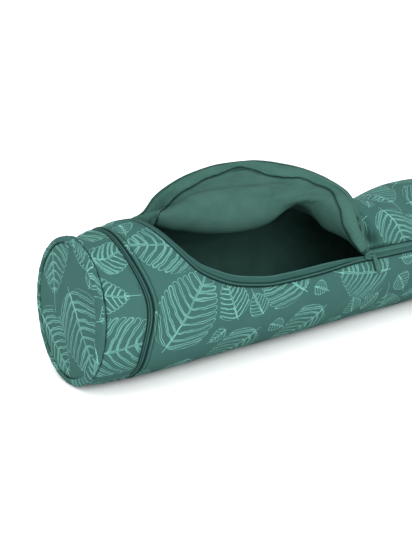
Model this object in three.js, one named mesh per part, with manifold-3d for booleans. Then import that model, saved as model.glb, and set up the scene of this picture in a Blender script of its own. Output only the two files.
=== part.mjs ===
import * as THREE from 'three';
import { mergeVertices } from 'three/addons/utils/BufferGeometryUtils.js';
import Module from 'manifold-3d';

// Yoga mat bag lying on its side, in millimetres, +Z up.
// +X runs along the bag from the end pocket to the far end, and -Y is the side with the open zip.

// Main sizes
const tubeRadius = 80;
const axisHeight = 77;
const pocketLength = 41.5;
const pocketLean = 4.5;
const matLength = 655;
const clothThickness = 2;
const liningThickness = 0.9;
const liningGap = 0.5;
const pieceGap = 0.3;
const seamAllowance = 4;

// End panels and their seams
const weltRadius = 2.3;
const panelThickness = 2;
const panelRecess = 1.2;
const panelSwell = 1.5;
const panelFoldHeight = 2.4;

// Zip round the end pocket
const pocketTapeWidth = 5.6;
const coilWidth = 1.4;
const tapeThickness = 1.2;
const tapeInset = 0.5;
const coilInset = 0.8;
const pocketWave = 4;
const tapeGap = 0.6;

// Long zip and its opening
const openingStart = 20.5;
const openingLength = 273.5;
const flapStart = 0.1;
const zipEndMargin = 34;
const zipEndSeam = 1;
const zipWidth = 12.6;
const frontTapeWidth = 11;
const flapTapeWidth = 13;
const foldRadius = 10;
const flapRise = 46;
const flapLean = 20;

// Slider and pull of the long zip
const sliderLength = 13;
const sliderWidth = 9;
const plateHeight = 2.4;
const sliderLift = 0.7;
const bridgeHeight = 5.6;
const bridgeWire = 1.1;
const bridgeSink = 0.3;
const pullLength = 28;
const pullWidth = 6.4;
const pullThickness = 1.5;
const pullHole = 3;
const pullSwing = 25;
const pullLift = 1;

// Slider of the end pocket's zip, on the far side
const pocketSliderLength = 12;
const pocketSliderWidth = 9;
const pocketSliderAngle = 176;

const degrees = Math.PI / 180;
const smooth = (t) => {
  const c = Math.min(1, Math.max(0, t));
  return c * c * (3 - 2 * c);
};
const bump = (t) => Math.exp(-0.5 * t * t);

// Value of one column of a table at a key, by a smooth curve through its rows
function lookUp(rows, column, key) {
  const last = rows.length - 1;
  if (key <= rows[0][0]) return rows[0][column];
  if (key >= rows[last][0]) return rows[last][column];
  let i = 0;
  while (key > rows[i + 1][0]) i += 1;
  const slope = (k) => {
    const a = Math.max(0, k - 1);
    const b = Math.min(last, k + 1);
    return (rows[b][column] - rows[a][column]) / (rows[b][0] - rows[a][0]);
  };
  const width = rows[i + 1][0] - rows[i][0];
  const t = (key - rows[i][0]) / width;
  const step = rows[i + 1][column] - rows[i][column];
  let m0 = slope(i) * width;
  let m1 = slope(i + 1) * width;
  if (step === 0 || m0 * step < 0) m0 = 0;
  if (step === 0 || m1 * step < 0) m1 = 0;
  m0 = Math.sign(m0) * Math.min(Math.abs(m0), 3 * Math.abs(step));
  m1 = Math.sign(m1) * Math.min(Math.abs(m1), 3 * Math.abs(step));
  const t2 = t * t;
  const t3 = t2 * t;
  return rows[i][column] * (2 * t3 - 3 * t2 + 1) + m0 * (t3 - 2 * t2 + t)
    + rows[i + 1][column] * (3 * t2 - 2 * t3) + m1 * (t3 - t2);
}

// Outline of the pocket: place as a share of its length, then top, side and bottom as shares of the
// radius
const pocketOutline = [
  [-1.0, 0.888, 0.873, 0.95],
  [-0.92, 0.884, 0.875, 0.951],
  [-0.78, 0.845, 0.888, 0.965],
  [-0.55, 0.838, 0.914, 0.982],
  [-0.3, 0.885, 0.946, 0.997],
  [0.0, 0.925, 0.981, 1.0],
];

// Outline of the mat compartment: place as a share of its length, then the same three shares
const matOutline = [
  [0.0, 0.925, 0.981, 1.0],
  [0.018, 0.955, 0.992, 1.0],
  [0.034, 0.995, 1.0, 1.0],
  [0.07, 1.0, 1.006, 1.0],
  [0.9, 1.0, 1.0, 1.0],
  [0.97, 0.985, 0.99, 1.0],
  [1.0, 0.95, 0.96, 0.98],
];

// Long dents in the slack cloth: place, width and depth along the bag, angle and spread in degrees
const dents = [
  { place: 0.543, length: 0.0605, angle: 112, spread: 34, depth: 0.213 },
  { place: 0.575, length: 0.035, angle: 66, spread: 16, depth: 0.035 },
  { place: 0.49, length: 0.02, angle: 42, spread: 12, depth: 0.04 },
  { place: 0.66, length: 0.05, angle: 150, spread: 24, depth: 0.03 },
  { place: 0.83, length: 0.04, angle: 98, spread: 26, depth: 0.035 },
];

// Waves of the pocket's zip: angle, shift along the bag as a share of the wave, spread in degrees
const zipWaves = [
  { angle: 10, shift: 1.0, spread: 16 },
  { angle: 58, shift: -0.9, spread: 20 },
  { angle: -18, shift: -0.5, spread: 13 },
  { angle: 150, shift: 0.6, spread: 22 },
  { angle: -130, shift: -0.5, spread: 24 },
];

// Front edge of the cloth at the opening: place as a share of the opening, angle in degrees
const frontEdge = [
  [0, 118], [0.012, 106], [0.024, 93], [0.034, 81], [0.044, 69.5], [0.055, 60], [0.068, 51.5],
  [0.083, 44.5], [0.1, 37.8], [0.12, 32], [0.14, 27.3], [0.187, 20.8], [0.271, 13.2], [0.364, 8.8],
  [0.463, 6], [0.566, 5.8], [0.675, 6.2], [0.77, 6.9], [0.887, 8.6], [1, 9], [1.3, 8.6],
];

// Line where the flap leaves the tube: place in the opening, angle, distance from the axis, fold size
// and the turn of the fold in degrees
const foldLine = [
  [0, 118, 1.0, 0, 0],
  [0.015, 119, 1.0, 0.1, 8],
  [0.04, 120, 0.99, 0.2, 14],
  [0.071, 119, 0.98, 0.3, 18],
  [0.1, 115.5, 0.96, 0.4, 30],
  [0.13, 108, 0.92, 0.6, 54],
  [0.17, 97, 0.84, 0.8, 84],
  [0.247, 85.2, 0.753, 1.0, 114],
  [0.338, 81.6, 0.688, 1.0, 118],
  [0.437, 80.9, 0.633, 1.0, 116],
  [0.547, 80.9, 0.64, 1.0, 108],
  [0.656, 79.7, 0.71, 0.9, 88],
  [0.748, 76.8, 0.83, 0.7, 58],
  [0.824, 72.5, 0.95, 0.5, 36],
  [0.883, 63, 0.99, 0.35, 24],
  [0.927, 49, 1.0, 0.2, 12],
  [0.963, 33, 1.0, 0.1, 6],
  [1, 18, 1.0, 0, 0],
];

// Free edge of the flap: place in the opening, then x as a share of the opening, y as a share of the
// radius and z as a share of the flap's rise above the tube
const flapEdge = [
  [0, 0.000, 0.456, -0.239],
  [0.015, 0.020, 0.456, -0.213],
  [0.04, 0.057, 0.454, -0.189],
  [0.071, 0.093, 0.450, -0.163],
  [0.1, 0.124, 0.444, -0.135],
  [0.13, 0.152, 0.400, -0.011],
  [0.17, 0.188, 0.331, 0.315],
  [0.22, 0.239, 0.241, 0.576],
  [0.28, 0.320, 0.188, 0.789],
  [0.35, 0.455, 0.150, 0.957],
  [0.437, 0.620, 0.100, 0.985],
  [0.547, 0.773, 0.007, 0.843],
  [0.656, 0.876, -0.138, 0.658],
  [0.748, 0.950, -0.332, 0.405],
  [0.824, 0.985, -0.580, 0.110],
  [0.883, 0.982, -0.781, -0.217],
  [0.927, 0.974, -0.899, -0.547],
  [0.963, 0.978, -0.959, -0.924],
  [1, 1.000, -0.970, -1.293],
];

// Outer surface of the tube at a place along it and an angle: 0 is the front, 90 the top
function tubePoint(x, angle, distance = 1, inset = 0) {
  const a = angle * degrees;
  const inPocket = x < 0;
  const share = inPocket ? x / pocketLength : x / matLength;
  const outline = inPocket ? pocketOutline : matOutline;
  const top = tubeRadius * lookUp(outline, 1, share);
  const side = tubeRadius * lookUp(outline, 2, share);
  const bottom = tubeRadius * lookUp(outline, 3, share);
  let radius = distance;
  for (const dent of dents) {
    const along = bump((x / matLength - dent.place) / dent.length);
    radius -= dent.depth * along * bump((wrap(angle - dent.angle)) / dent.spread);
  }
  const y = -(side * radius - inset) * Math.cos(a);
  let z = Math.sin(a) * ((Math.sin(a) > 0 ? top * radius : bottom) - inset);
  z = Math.max(z, inset - axisHeight);
  const lean = inPocket ? -share * pocketLean * Math.sin(a) : 0;
  return new THREE.Vector3(x + zipWave(x, angle) + lean, y, z);
}

function wrap(angle) {
  return ((((angle + 180) % 360) + 360) % 360) - 180;
}

function zipWave(x, angle) {
  let shift = 0;
  for (const wave of zipWaves) {
    shift += pocketWave * wave.shift * bump(wrap(angle - wave.angle) / wave.spread);
  }
  return shift * bump(x / (0.18 * tubeRadius));
}

// Corners and faces of a grid of surface points, with equal points as one corner
function weld(grid) {
  const corners = [];
  const found = new Map();
  const index = grid.map((row) => row.map((point) => {
    const key = point.toArray().map((v) => Math.round(v * 1000)).join(' ');
    if (!found.has(key)) {
      found.set(key, corners.length);
      corners.push(point.clone());
    }
    return found.get(key);
  }));
  const faces = [];
  const addFace = (a, b, c) => {
    if (a !== b && b !== c && c !== a) faces.push([a, b, c]);
  };
  for (let i = 0; i + 1 < grid.length; i += 1) {
    for (let j = 0; j + 1 < grid[i].length; j += 1) {
      const [a, b] = [index[i][j], index[i][j + 1]];
      const [d, c] = [index[i + 1][j], index[i + 1][j + 1]];
      addFace(a, b, c);
      addFace(a, c, d);
    }
  }
  return { corners, faces };
}

function cornerNormals({ corners, faces }) {
  const normals = corners.map(() => new THREE.Vector3());
  const side = new THREE.Vector3();
  const other = new THREE.Vector3();
  for (const face of faces) {
    for (let k = 0; k < 3; k += 1) {
      const at = corners[face[k]];
      side.subVectors(corners[face[(k + 1) % 3]], at).normalize();
      other.subVectors(corners[face[(k + 2) % 3]], at).normalize();
      const turn = Math.acos(THREE.MathUtils.clamp(side.dot(other), -1, 1));
      side.cross(other).normalize().multiplyScalar(turn);
      normals[face[k]].add(side);
    }
  }
  normals.forEach((normal) => normal.normalize());
  return normals;
}

function solid(points, triangles) {
  const geometry = new THREE.BufferGeometry();
  const positions = points.flatMap((point) => point.toArray());
  geometry.setAttribute('position', new THREE.Float32BufferAttribute(positions, 3));
  geometry.setIndex(triangles.flat());
  geometry.computeVertexNormals();
  return geometry;
}

// Cloth solid under a grid of surface points: inset is the depth of its outer side below the grid
function shell(grid, inset, thickness) {
  const { corners, faces } = weld(grid);
  const normals = cornerNormals({ corners, faces });
  const count = corners.length;
  const points = [inset, inset + thickness].flatMap((depth) => {
    return corners.map((corner, k) => corner.clone().addScaledVector(normals[k], -depth));
  });
  const triangles = [];
  const edges = new Map();
  for (const [a, b, c] of faces) {
    triangles.push([a, b, c], [a + count, c + count, b + count]);
    for (const [from, to] of [[a, b], [b, c], [c, a]]) edges.set(`${from} ${to}`, [from, to]);
  }
  for (const [from, to] of edges.values()) {
    if (!edges.has(`${to} ${from}`)) {
      triangles.push([from, from + count, to], [to, from + count, to + count]);
    }
  }
  return solid(points, triangles);
}

const ringSteps = 30;

// Ring of the tube between two places
function ring(places) {
  return places.map((x) => {
    const row = [];
    for (let j = 0; j <= ringSteps; j += 1) row.push(tubePoint(x, 90 - (360 * j) / ringSteps));
    return row;
  });
}

// Stations of the mat compartment, as shares of the opening and of the closed stretch behind it
const openStations = [
  0, 0.012, 0.024, 0.036, 0.05, 0.068, 0.09, 0.115, 0.145, 0.18, 0.22, 0.27, 0.32, 0.38, 0.443,
  0.51, 0.58, 0.65, 0.72, 0.785, 0.84, 0.885, 0.925, 0.96, 0.99,
];
const closedStations = [0, 0.035, 0.1, 0.17, 0.24, 0.34, 0.62, 1];
const openingEnd = openingStart + openingLength;
const bodyStart = pocketTapeWidth + coilWidth / 2 + 2 * pieceGap;
const bodyEnd = matLength;
const zipEnd = matLength - zipEndMargin;
const zipHalf = (zipWidth / 2 / tubeRadius) / degrees;
const foldSteps = 4;
const sheetSteps = 6;

// Angles of the wall's columns, from the zip's start over the front, underside and back to the zip
const columnStep = 17;
const firstAngle = frontEdge[0][1];
const closedFront = lookUp(frontEdge, 1, 1.3);
const zipCentre = closedFront + zipHalf;
const columnAngles = [firstAngle];
for (let angle = 105; angle > zipCentre - 360; angle -= columnStep) columnAngles.push(angle);
columnAngles.push(zipCentre - 360);

function flapEdgePoint(share) {
  return new THREE.Vector3(
    openingStart + openingLength * lookUp(flapEdge, 1, share),
    tubeRadius * lookUp(flapEdge, 2, share),
    tubeRadius + flapRise * lookUp(flapEdge, 3, share),
  );
}

// Way that the flap's zip tape points at its free edge
function flapEdgeWay(share) {
  const before = flapEdgePoint(Math.max(0, share - 0.02));
  const after = flapEdgePoint(Math.min(1, share + 0.02));
  const along = after.sub(before).normalize();
  const facing = new THREE.Vector3(0, -Math.cos(flapLean * degrees), Math.sin(flapLean * degrees));
  return facing.cross(along).normalize();
}

// Width of the flap's zip tape, narrow at both ends of the opening
function tapeWidth(share, room) {
  const closing = smooth((1 - share) / 0.12);
  const starting = smooth((share - 0.06) / 0.1);
  const width = (zipWidth / 2 - pieceGap + (flapTapeWidth - zipWidth / 2) * closing) * starting;
  return Math.min(width, 0.6 * room);
}

// Path across the flap at one station: round the fold, then over the cloth to its edge by the tape
function flapPath(share) {
  const x = openingStart + openingLength * share;
  const angle = lookUp(foldLine, 1, share);
  const radius = foldRadius * lookUp(foldLine, 3, share);
  const turn = lookUp(foldLine, 4, share) * degrees;
  const start = tubePoint(x, angle, lookUp(foldLine, 2, share));
  const out = new THREE.Vector3(0, -Math.cos(angle * degrees), Math.sin(angle * degrees));
  const on = new THREE.Vector3(0, -Math.sin(angle * degrees), -Math.cos(angle * degrees));
  const fold = [];
  for (let k = 1; k <= foldSteps; k += 1) {
    const t = (turn * k) / foldSteps;
    const point = start.clone().addScaledVector(on, radius * Math.sin(t));
    fold.push(point.addScaledVector(out, radius * (1 - Math.cos(t))));
  }
  const edge = flapEdgePoint(share);
  const way = flapEdgeWay(share);
  const width = tapeWidth(share, start.distanceTo(edge));
  const from = fold[foldSteps - 1];
  const gap = tapeGap * (1 + 3.2 * smooth((share - 0.88) / 0.08));
  const to = edge.clone().addScaledVector(way, -(width + gap));
  const seam = to.clone().addScaledVector(way, -Math.min(seamAllowance, 0.2 * from.distanceTo(to)));
  const heading = on.multiplyScalar(Math.cos(turn)).addScaledVector(out, Math.sin(turn));
  const reach = from.distanceTo(seam);
  const cloth = new THREE.CubicBezierCurve3(
    from,
    from.clone().addScaledVector(heading, 0.3 * reach),
    seam.clone().addScaledVector(way, -0.35 * reach),
    seam,
  );
  return { fold, cloth, to, edge, way, width };
}

// Wall columns of one station between its front angle and its last angle, both within one turn
function wallColumns(x, first, last, depthAt = () => 1) {
  return columnAngles.map((column) => {
    const angle = Math.max(last - 360, Math.min(first, column));
    return tubePoint(x, angle, depthAt(angle + 360));
  });
}

// One row of the wall and flap: from the front edge under the bag and up its back, then out along
// the flap to the edge of its cloth
function openRow(share) {
  const x = openingStart + openingLength * share;
  const last = lookUp(foldLine, 1, share);
  const distance = lookUp(foldLine, 2, share);
  const row = wallColumns(x, lookUp(frontEdge, 1, share), last, (angle) => {
    return angle < 180 ? 1 + (distance - 1) * smooth((180 - angle) / (180 - last)) : 1;
  });
  if (share < flapStart) return addCollapsed(row);
  const { fold, cloth, to } = flapPath(share);
  row.push(...fold);
  for (let k = 1; k < sheetSteps; k += 1) row.push(cloth.getPointAt(k / (sheetSteps - 1)));
  row.push(to);
  return row;
}

function addCollapsed(row) {
  const end = row[row.length - 1];
  for (let k = 1; k <= foldSteps + sheetSteps; k += 1) row.push(end.clone());
  return row;
}

function closedRow(x) {
  if (x > zipEnd) return addCollapsed(wallColumns(x, zipCentre, zipCentre));
  return addCollapsed(wallColumns(x, closedFront, zipCentre + zipHalf));
}

function bodyGrid() {
  const grid = [bodyStart, (bodyStart + openingStart) / 2].map((x) => {
    return addCollapsed(wallColumns(x, firstAngle, firstAngle));
  });
  openStations.forEach((share) => grid.push(openRow(share)));
  closedStations.forEach((share) => grid.push(closedRow(openingEnd + (zipEnd - openingEnd) * share)));
  grid.push(closedRow(zipEnd + zipEndSeam));
  grid.push(closedRow(bodyEnd));
  return grid;
}

const cloth = { color: 0x4e7974, roughness: 0.85, metalness: 0 };
const plainCloth = { color: 0x52766e, roughness: 0.8, metalness: 0 };
const tape = { color: 0x426661, roughness: 0.7, metalness: 0 };
const coil = { color: 0x2f4c48, roughness: 0.5, metalness: 0 };
const paint = { color: 0x4a716c, roughness: 0.4, metalness: 0.2 };

const bag = new THREE.Group();
bag.name = 'yoga_mat_bag';

function addMesh(name, geometry, look, parent = bag) {
  const mesh = new THREE.Mesh(geometry, new THREE.MeshStandardMaterial(look));
  mesh.name = name;
  parent.add(mesh);
  return mesh;
}

// Wall and lining of the mat compartment
const body = bodyGrid();
addMesh('mat_wall', shell(body, 0, clothThickness), cloth);
addMesh('mat_lining', shell(body, clothThickness + liningGap, liningThickness), plainCloth);

// End pocket
const pocketEnd = -bodyStart;
const pocketPlaces = [-1, -0.92, -0.78, -0.6, -0.4, -0.24].map((share) => share * pocketLength);
addMesh('pocket_wall', shell(ring([...pocketPlaces, pocketEnd]), 0, clothThickness), cloth);

const tapeInner = coilWidth / 2 + pieceGap;
const tapeOuter = tapeInner + pocketTapeWidth - pieceGap;
addMesh('pocket_zip_tape_left', shell(ring([-tapeOuter, -tapeInner]), tapeInset, tapeThickness), tape);
addMesh('pocket_zip_tape_right', shell(ring([tapeInner, tapeOuter]), tapeInset, tapeThickness), tape);
const coilGeometry = shell(ring([-coilWidth / 2, coilWidth / 2]), coilInset, tapeThickness);
addMesh('pocket_zip_coil', coilGeometry, coil);

// Long zip: tapes along both edges of the opening and of the closed stretch, with the coil between
function frontEdgePoint(share) {
  return new THREE.Vector2(
    openingStart + openingLength * share,
    lookUp(frontEdge, 1, share) * degrees * tubeRadius,
  );
}

function frontTapeRow(share, before, after) {
  const at = frontEdgePoint(share);
  const way = frontEdgePoint(after).sub(frontEdgePoint(before)).normalize();
  const across = new THREE.Vector2(-way.y, way.x);
  const closing = smooth((share - 0.72) / 0.28);
  const opening = smooth((share - 0.02) / 0.2);
  const wide = frontTapeWidth * (0.55 + 0.45 * opening);
  const width = wide + (zipWidth / 2 - tapeInner - pieceGap - wide) * closing;
  const gap = tapeGap * (2 - smooth((share - 0.05) / 0.05));
  return [0, 0.5, 1].map((part) => {
    const spot = at.clone().addScaledVector(across, gap + (width - gap) * part);
    return tubePoint(spot.x, spot.y / tubeRadius / degrees);
  }).reverse();
}

const closedPlaces = closedStations.map((share) => openingEnd + (zipEnd - zipEndSeam - openingEnd) * share);
const halfTurn = (distance) => (distance / tubeRadius) / degrees;

function closedTapeRow(x, low, high) {
  return [high, (low + high) / 2, low].map((angle) => tubePoint(x, angle));
}

const frontTapeGrid = [];
openStations.forEach((share, k) => {
  if (k < 1) return;
  frontTapeGrid.push(frontTapeRow(share, openStations[k - 1], openStations[k + 1] ?? 1));
});
closedPlaces.forEach((x) => {
  const low = closedFront + halfTurn(tapeGap);
  frontTapeGrid.push(closedTapeRow(x, low, zipCentre - halfTurn(tapeInner)));
});
addMesh('main_zip_tape_front', shell(frontTapeGrid, tapeInset, tapeThickness), tape);

const flapTapeGrid = [];
openStations.slice(7).forEach((share) => {
  const { edge, way, width } = flapPath(share);
  flapTapeGrid.push([1, 0.5, 0].map((part) => edge.clone().addScaledVector(way, -width * part)));
});
closedPlaces.forEach((x) => {
  const gap = tapeGap * (4.2 - 3.2 * smooth((x - openingEnd) / sliderLength));
  const high = closedFront + 2 * zipHalf - halfTurn(gap);
  flapTapeGrid.push(closedTapeRow(x, zipCentre + halfTurn(tapeInner), high));
});
addMesh('main_zip_tape_flap', shell(flapTapeGrid, tapeInset, tapeThickness), tape);

const coilPlaces = closedPlaces.slice(1);
const coilGrid = coilPlaces.map((x) => {
  return closedTapeRow(x, zipCentre - halfTurn(coilWidth / 2), zipCentre + halfTurn(coilWidth / 2));
});
addMesh('main_zip_coil', shell(coilGrid, coilInset, tapeThickness), coil);

// Slider: a plate with a bridge on it, lying on the first stretch of the closed zip
const sliderPlace = openingEnd + 0.27 * sliderLength;
const sliderMount = new THREE.Group();
sliderMount.position.copy(tubePoint(sliderPlace, zipCentre));
sliderMount.rotation.x = (90 - zipCentre) * degrees;
bag.add(sliderMount);

function plateShape(length, width) {
  const corners = [
    [-0.5, -0.32], [-0.1, -0.5], [0.38, -0.5], [0.5, -0.3],
    [0.5, 0.3], [0.38, 0.5], [-0.1, 0.5], [-0.5, 0.32],
  ];
  return new THREE.Shape(corners.map(([u, v]) => new THREE.Vector2(u * length, v * width)));
}

function bridgeShape(length, height, wire) {
  return new THREE.Shape([
    new THREE.Vector2(-length / 2, 0),
    new THREE.Vector2(-length / 2 + wire, 0),
    new THREE.Vector2(-length / 2 + wire, 0.6 * (height - wire)),
    new THREE.Vector2(-0.25 * length, height - wire),
    new THREE.Vector2(0.25 * length, height - wire),
    new THREE.Vector2(length / 2 - wire, 0.6 * (height - wire)),
    new THREE.Vector2(length / 2 - wire, 0),
    new THREE.Vector2(length / 2, 0),
    new THREE.Vector2(length / 2, 0.7 * height),
    new THREE.Vector2(0.3 * length, height),
    new THREE.Vector2(-0.3 * length, height),
    new THREE.Vector2(-length / 2, 0.7 * height),
  ]);
}

const wasm = await Module();
wasm.setup();

function toSolid(geometry) {
  const bare = geometry.clone();
  bare.deleteAttribute('normal');
  bare.deleteAttribute('uv');
  const merged = mergeVertices(bare, 0.001);
  return new wasm.Manifold(new wasm.Mesh({
    numProp: 3,
    vertProperties: new Float32Array(merged.attributes.position.array),
    triVerts: new Uint32Array(merged.index.array),
  }));
}

function toGeometry(manifold) {
  const mesh = manifold.getMesh();
  const geometry = new THREE.BufferGeometry();
  geometry.setAttribute('position', new THREE.BufferAttribute(mesh.vertProperties, 3));
  geometry.setIndex(new THREE.BufferAttribute(mesh.triVerts, 1));
  geometry.computeVertexNormals();
  return geometry;
}

const plainExtrude = (shape, depth) => new THREE.ExtrudeGeometry(shape, { depth, bevelEnabled: false });
const plateGeometry = plainExtrude(plateShape(sliderLength, sliderWidth), plateHeight);
plateGeometry.translate(0, 0, sliderLift);
const bridgeLength = 0.75 * sliderLength;
const bridge = plainExtrude(bridgeShape(bridgeLength, bridgeHeight + bridgeSink, bridgeWire), bridgeWire);
bridge.translate(0, 0, -bridgeWire / 2);
bridge.rotateX(Math.PI / 2);
bridge.translate(0, 0, sliderLift + plateHeight - bridgeSink);
addMesh('main_zip_slider', toGeometry(toSolid(plateGeometry).add(toSolid(bridge))), paint, sliderMount);

// Pull: a long six-sided plate with a point at its foot, hung by its hole on the bridge's far leg
const headDrop = 0.1 * pullLength;
const pullOutline = new THREE.Shape([
  [-0.3, 0], [0.3, 0], [0.5, 0.12], [0.5, 0.82], [0, 1], [-0.5, 0.82], [-0.5, 0.12],
].map(([u, v]) => new THREE.Vector2(u * pullWidth, headDrop - v * pullLength)));
pullOutline.holes.push(new THREE.Path([0, 1, 2, 3, 4, 5, 6, 7].map((k) => {
  const turn = (k * Math.PI) / 4;
  return new THREE.Vector2(Math.cos(turn), Math.sin(turn)).multiplyScalar(pullHole / 2);
})));
const pull = addMesh('main_zip_pull', plainExtrude(pullOutline, pullThickness), paint, sliderMount);
pull.position.set(
  (bridgeLength - bridgeWire) / 2,
  0,
  sliderLift + plateHeight + pullLift,
);
pull.rotation.set((zipCentre - 4) * degrees, 0, pullSwing * degrees, 'XYZ');

// The pocket's slider is a plain plate across the pocket zip
const pocketSlider = new THREE.Group();
pocketSlider.position.copy(tubePoint(0, pocketSliderAngle));
pocketSlider.rotation.x = (90 - pocketSliderAngle) * degrees;
bag.add(pocketSlider);
const pocketPlate = plainExtrude(plateShape(pocketSliderLength, pocketSliderWidth), plateHeight);
pocketPlate.rotateZ(Math.PI / 2);
pocketPlate.translate(0, 0, pieceGap);
addMesh('pocket_zip_slider', pocketPlate, paint, pocketSlider);

// End panels, each set back inside a round seam
function weltPath(x, inset) {
  const points = [];
  for (let k = 0; k < ringSteps; k += 1) {
    const point = tubePoint(x, (360 * k) / ringSteps, 1, inset);
    points.push(point);
  }
  return points;
}

function addEnd(name, x, way) {
  const rim = weltPath(x, weltRadius);
  const line = new THREE.CatmullRomCurve3(rim, true);
  line.points.forEach((point) => {
    point.x += way * (weltRadius + pieceGap);
  });
  const steps = 6;
  const grid = [];
  for (let k = 0; k < line.points.length + 1; k += 1) {
    const at = line.points[k % line.points.length];
    const a = (2 * Math.PI * k) / line.points.length;
    const out = new THREE.Vector3(0, -Math.cos(a), Math.sin(a));
    const row = [];
    for (let j = 0; j <= steps; j += 1) {
      const b = (2 * Math.PI * j) / steps;
      const point = at.clone().addScaledVector(out, weltRadius * Math.cos(b));
      point.x += weltRadius * Math.sin(b);
      row.push(point);
    }
    grid.push(row);
  }
  const { corners, faces } = weld(grid);
  addMesh(`end_welt_${name}`, solid(corners, faces), cloth);

  const panelRows = [0, 0.5, 0.72, 0.84, 1];
  const panelGrid = panelRows.map((share) => {
    const row = [];
    for (let k = 0; k <= ringSteps; k += 1) {
      const angle = way * ((360 * k) / ringSteps);
      const edge = tubePoint(x, angle, 1, 2 * weltRadius + pieceGap);
      const fold = bump((share - 0.82) / 0.07) * bump(wrap(angle - 5) / 55);
      const swell = panelSwell * (1 - share * share) + panelFoldHeight * fold;
      const depth = panelThickness + panelRecess + swell;
      const place = x + way * depth + (edge.x - x) * share;
      row.push(new THREE.Vector3(place, edge.y * share, edge.z * share));
    }
    return row;
  });
  addMesh(`end_panel_${name}`, shell(panelGrid, 0, panelThickness), cloth);
}
addEnd('left', -pocketLength, -1);
addEnd('right', matLength, 1);

// The bag stands on z = 0, with the middle of its box over the origin
const middle = new THREE.Box3().setFromObject(bag, true).getCenter(new THREE.Vector3());
bag.position.set(-middle.x, -middle.y, axisHeight);

const model = new THREE.Group();
model.add(bag);

export default model;
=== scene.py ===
import math
import random
import time

import bmesh
import bpy
from mathutils import Matrix, Vector, kdtree, noise


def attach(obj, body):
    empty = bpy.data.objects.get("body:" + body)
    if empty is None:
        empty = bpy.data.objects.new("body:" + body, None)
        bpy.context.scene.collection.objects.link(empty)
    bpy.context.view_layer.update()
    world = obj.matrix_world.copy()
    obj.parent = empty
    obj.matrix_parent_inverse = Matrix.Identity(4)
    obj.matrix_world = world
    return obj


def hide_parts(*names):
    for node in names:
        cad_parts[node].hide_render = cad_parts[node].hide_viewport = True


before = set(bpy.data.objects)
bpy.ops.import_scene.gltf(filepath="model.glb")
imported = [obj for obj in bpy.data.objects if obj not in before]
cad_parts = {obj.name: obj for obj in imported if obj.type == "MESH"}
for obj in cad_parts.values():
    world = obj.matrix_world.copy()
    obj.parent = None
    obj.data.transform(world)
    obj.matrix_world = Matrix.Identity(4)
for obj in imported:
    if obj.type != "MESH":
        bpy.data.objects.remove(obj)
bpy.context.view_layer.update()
scene = bpy.context.scene
mm = 0.001

# The bag lies along X, its open zip faces -Y. Shapes are worked out in millimetres from the middle of
# the ring where the end pocket's zip runs, then moved to the frame's origin.
bagSizes = {
    "origin": Vector((-305.179, 2.596, 77.0)),
    "tubeRadius": 80.0,
    "axisHeight": 77.0,
    "pocketLength": 41.5,
    "pocketLean": 4.5,
    "matLength": 655.0,
    "openingStart": 20.5,
    "openingLength": 273.5,
    "zipWidth": 12.6,
    "zipEndGap": 34.0,
    "frontTapeWidth": 11.0,
    "flapTapeWidth": 13.0,
    "foldRadius": 10.0,
    "flapRise": 46.0,
    "flapLean": 20.0,
    "pocketWave": 4.0,
    "seamAllowance": 4.0,
}
tubeRadius = bagSizes["tubeRadius"]
openingStart = bagSizes["openingStart"]
openingLength = bagSizes["openingLength"]
openingEnd = openingStart + openingLength
matLength = bagSizes["matLength"]
pocketLength = bagSizes["pocketLength"]
zipHalf = math.degrees(bagSizes["zipWidth"] / 2 / tubeRadius)

# Place as a share of the pocket's length, then top, side and bottom as shares of the radius
pocketOutline = [
    (-1.0, 0.888, 0.873, 0.95), (-0.92, 0.884, 0.875, 0.951), (-0.78, 0.845, 0.888, 0.965),
    (-0.55, 0.838, 0.914, 0.982), (-0.3, 0.885, 0.946, 0.99), (0.0, 0.918, 0.981, 0.99),
]
matOutline = [
    (0.0, 0.918, 0.981, 0.99), (0.018, 0.945, 0.992, 0.995), (0.034, 0.985, 1.0, 1.0),
    (0.07, 1.0, 1.006, 1.0), (0.9, 1.0, 1.0, 1.0), (0.97, 0.985, 0.99, 1.0), (1.0, 0.95, 0.96, 0.98),
]
# Place and length as shares of the mat compartment, angle, spread and depth of the long dents
dents = [
    (0.543, 0.0605, 112, 34, 0.213), (0.575, 0.035, 66, 16, 0.035), (0.49, 0.02, 42, 12, 0.04),
    (0.66, 0.05, 150, 24, 0.03), (0.83, 0.04, 98, 26, 0.035),
]
# Angle, size and spread of the waves of the zip round the bag
zipWaves = [(10, 1.0, 16), (58, -0.9, 20), (-18, -0.5, 13), (150, 0.6, 22), (-130, -0.5, 24)]
# Place in the opening and angle of its front edge
frontEdge = [
    (0, 118), (0.012, 106), (0.024, 93), (0.034, 81), (0.044, 69.5), (0.055, 60), (0.068, 51.5),
    (0.083, 44.5), (0.1, 37.8), (0.12, 32), (0.14, 27.3), (0.187, 20.8), (0.271, 13.2), (0.364, 8.8),
    (0.463, 6), (0.566, 5.8), (0.675, 6.2), (0.77, 6.9), (0.887, 8.6), (1, 9), (1.3, 8.6),
]
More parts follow.
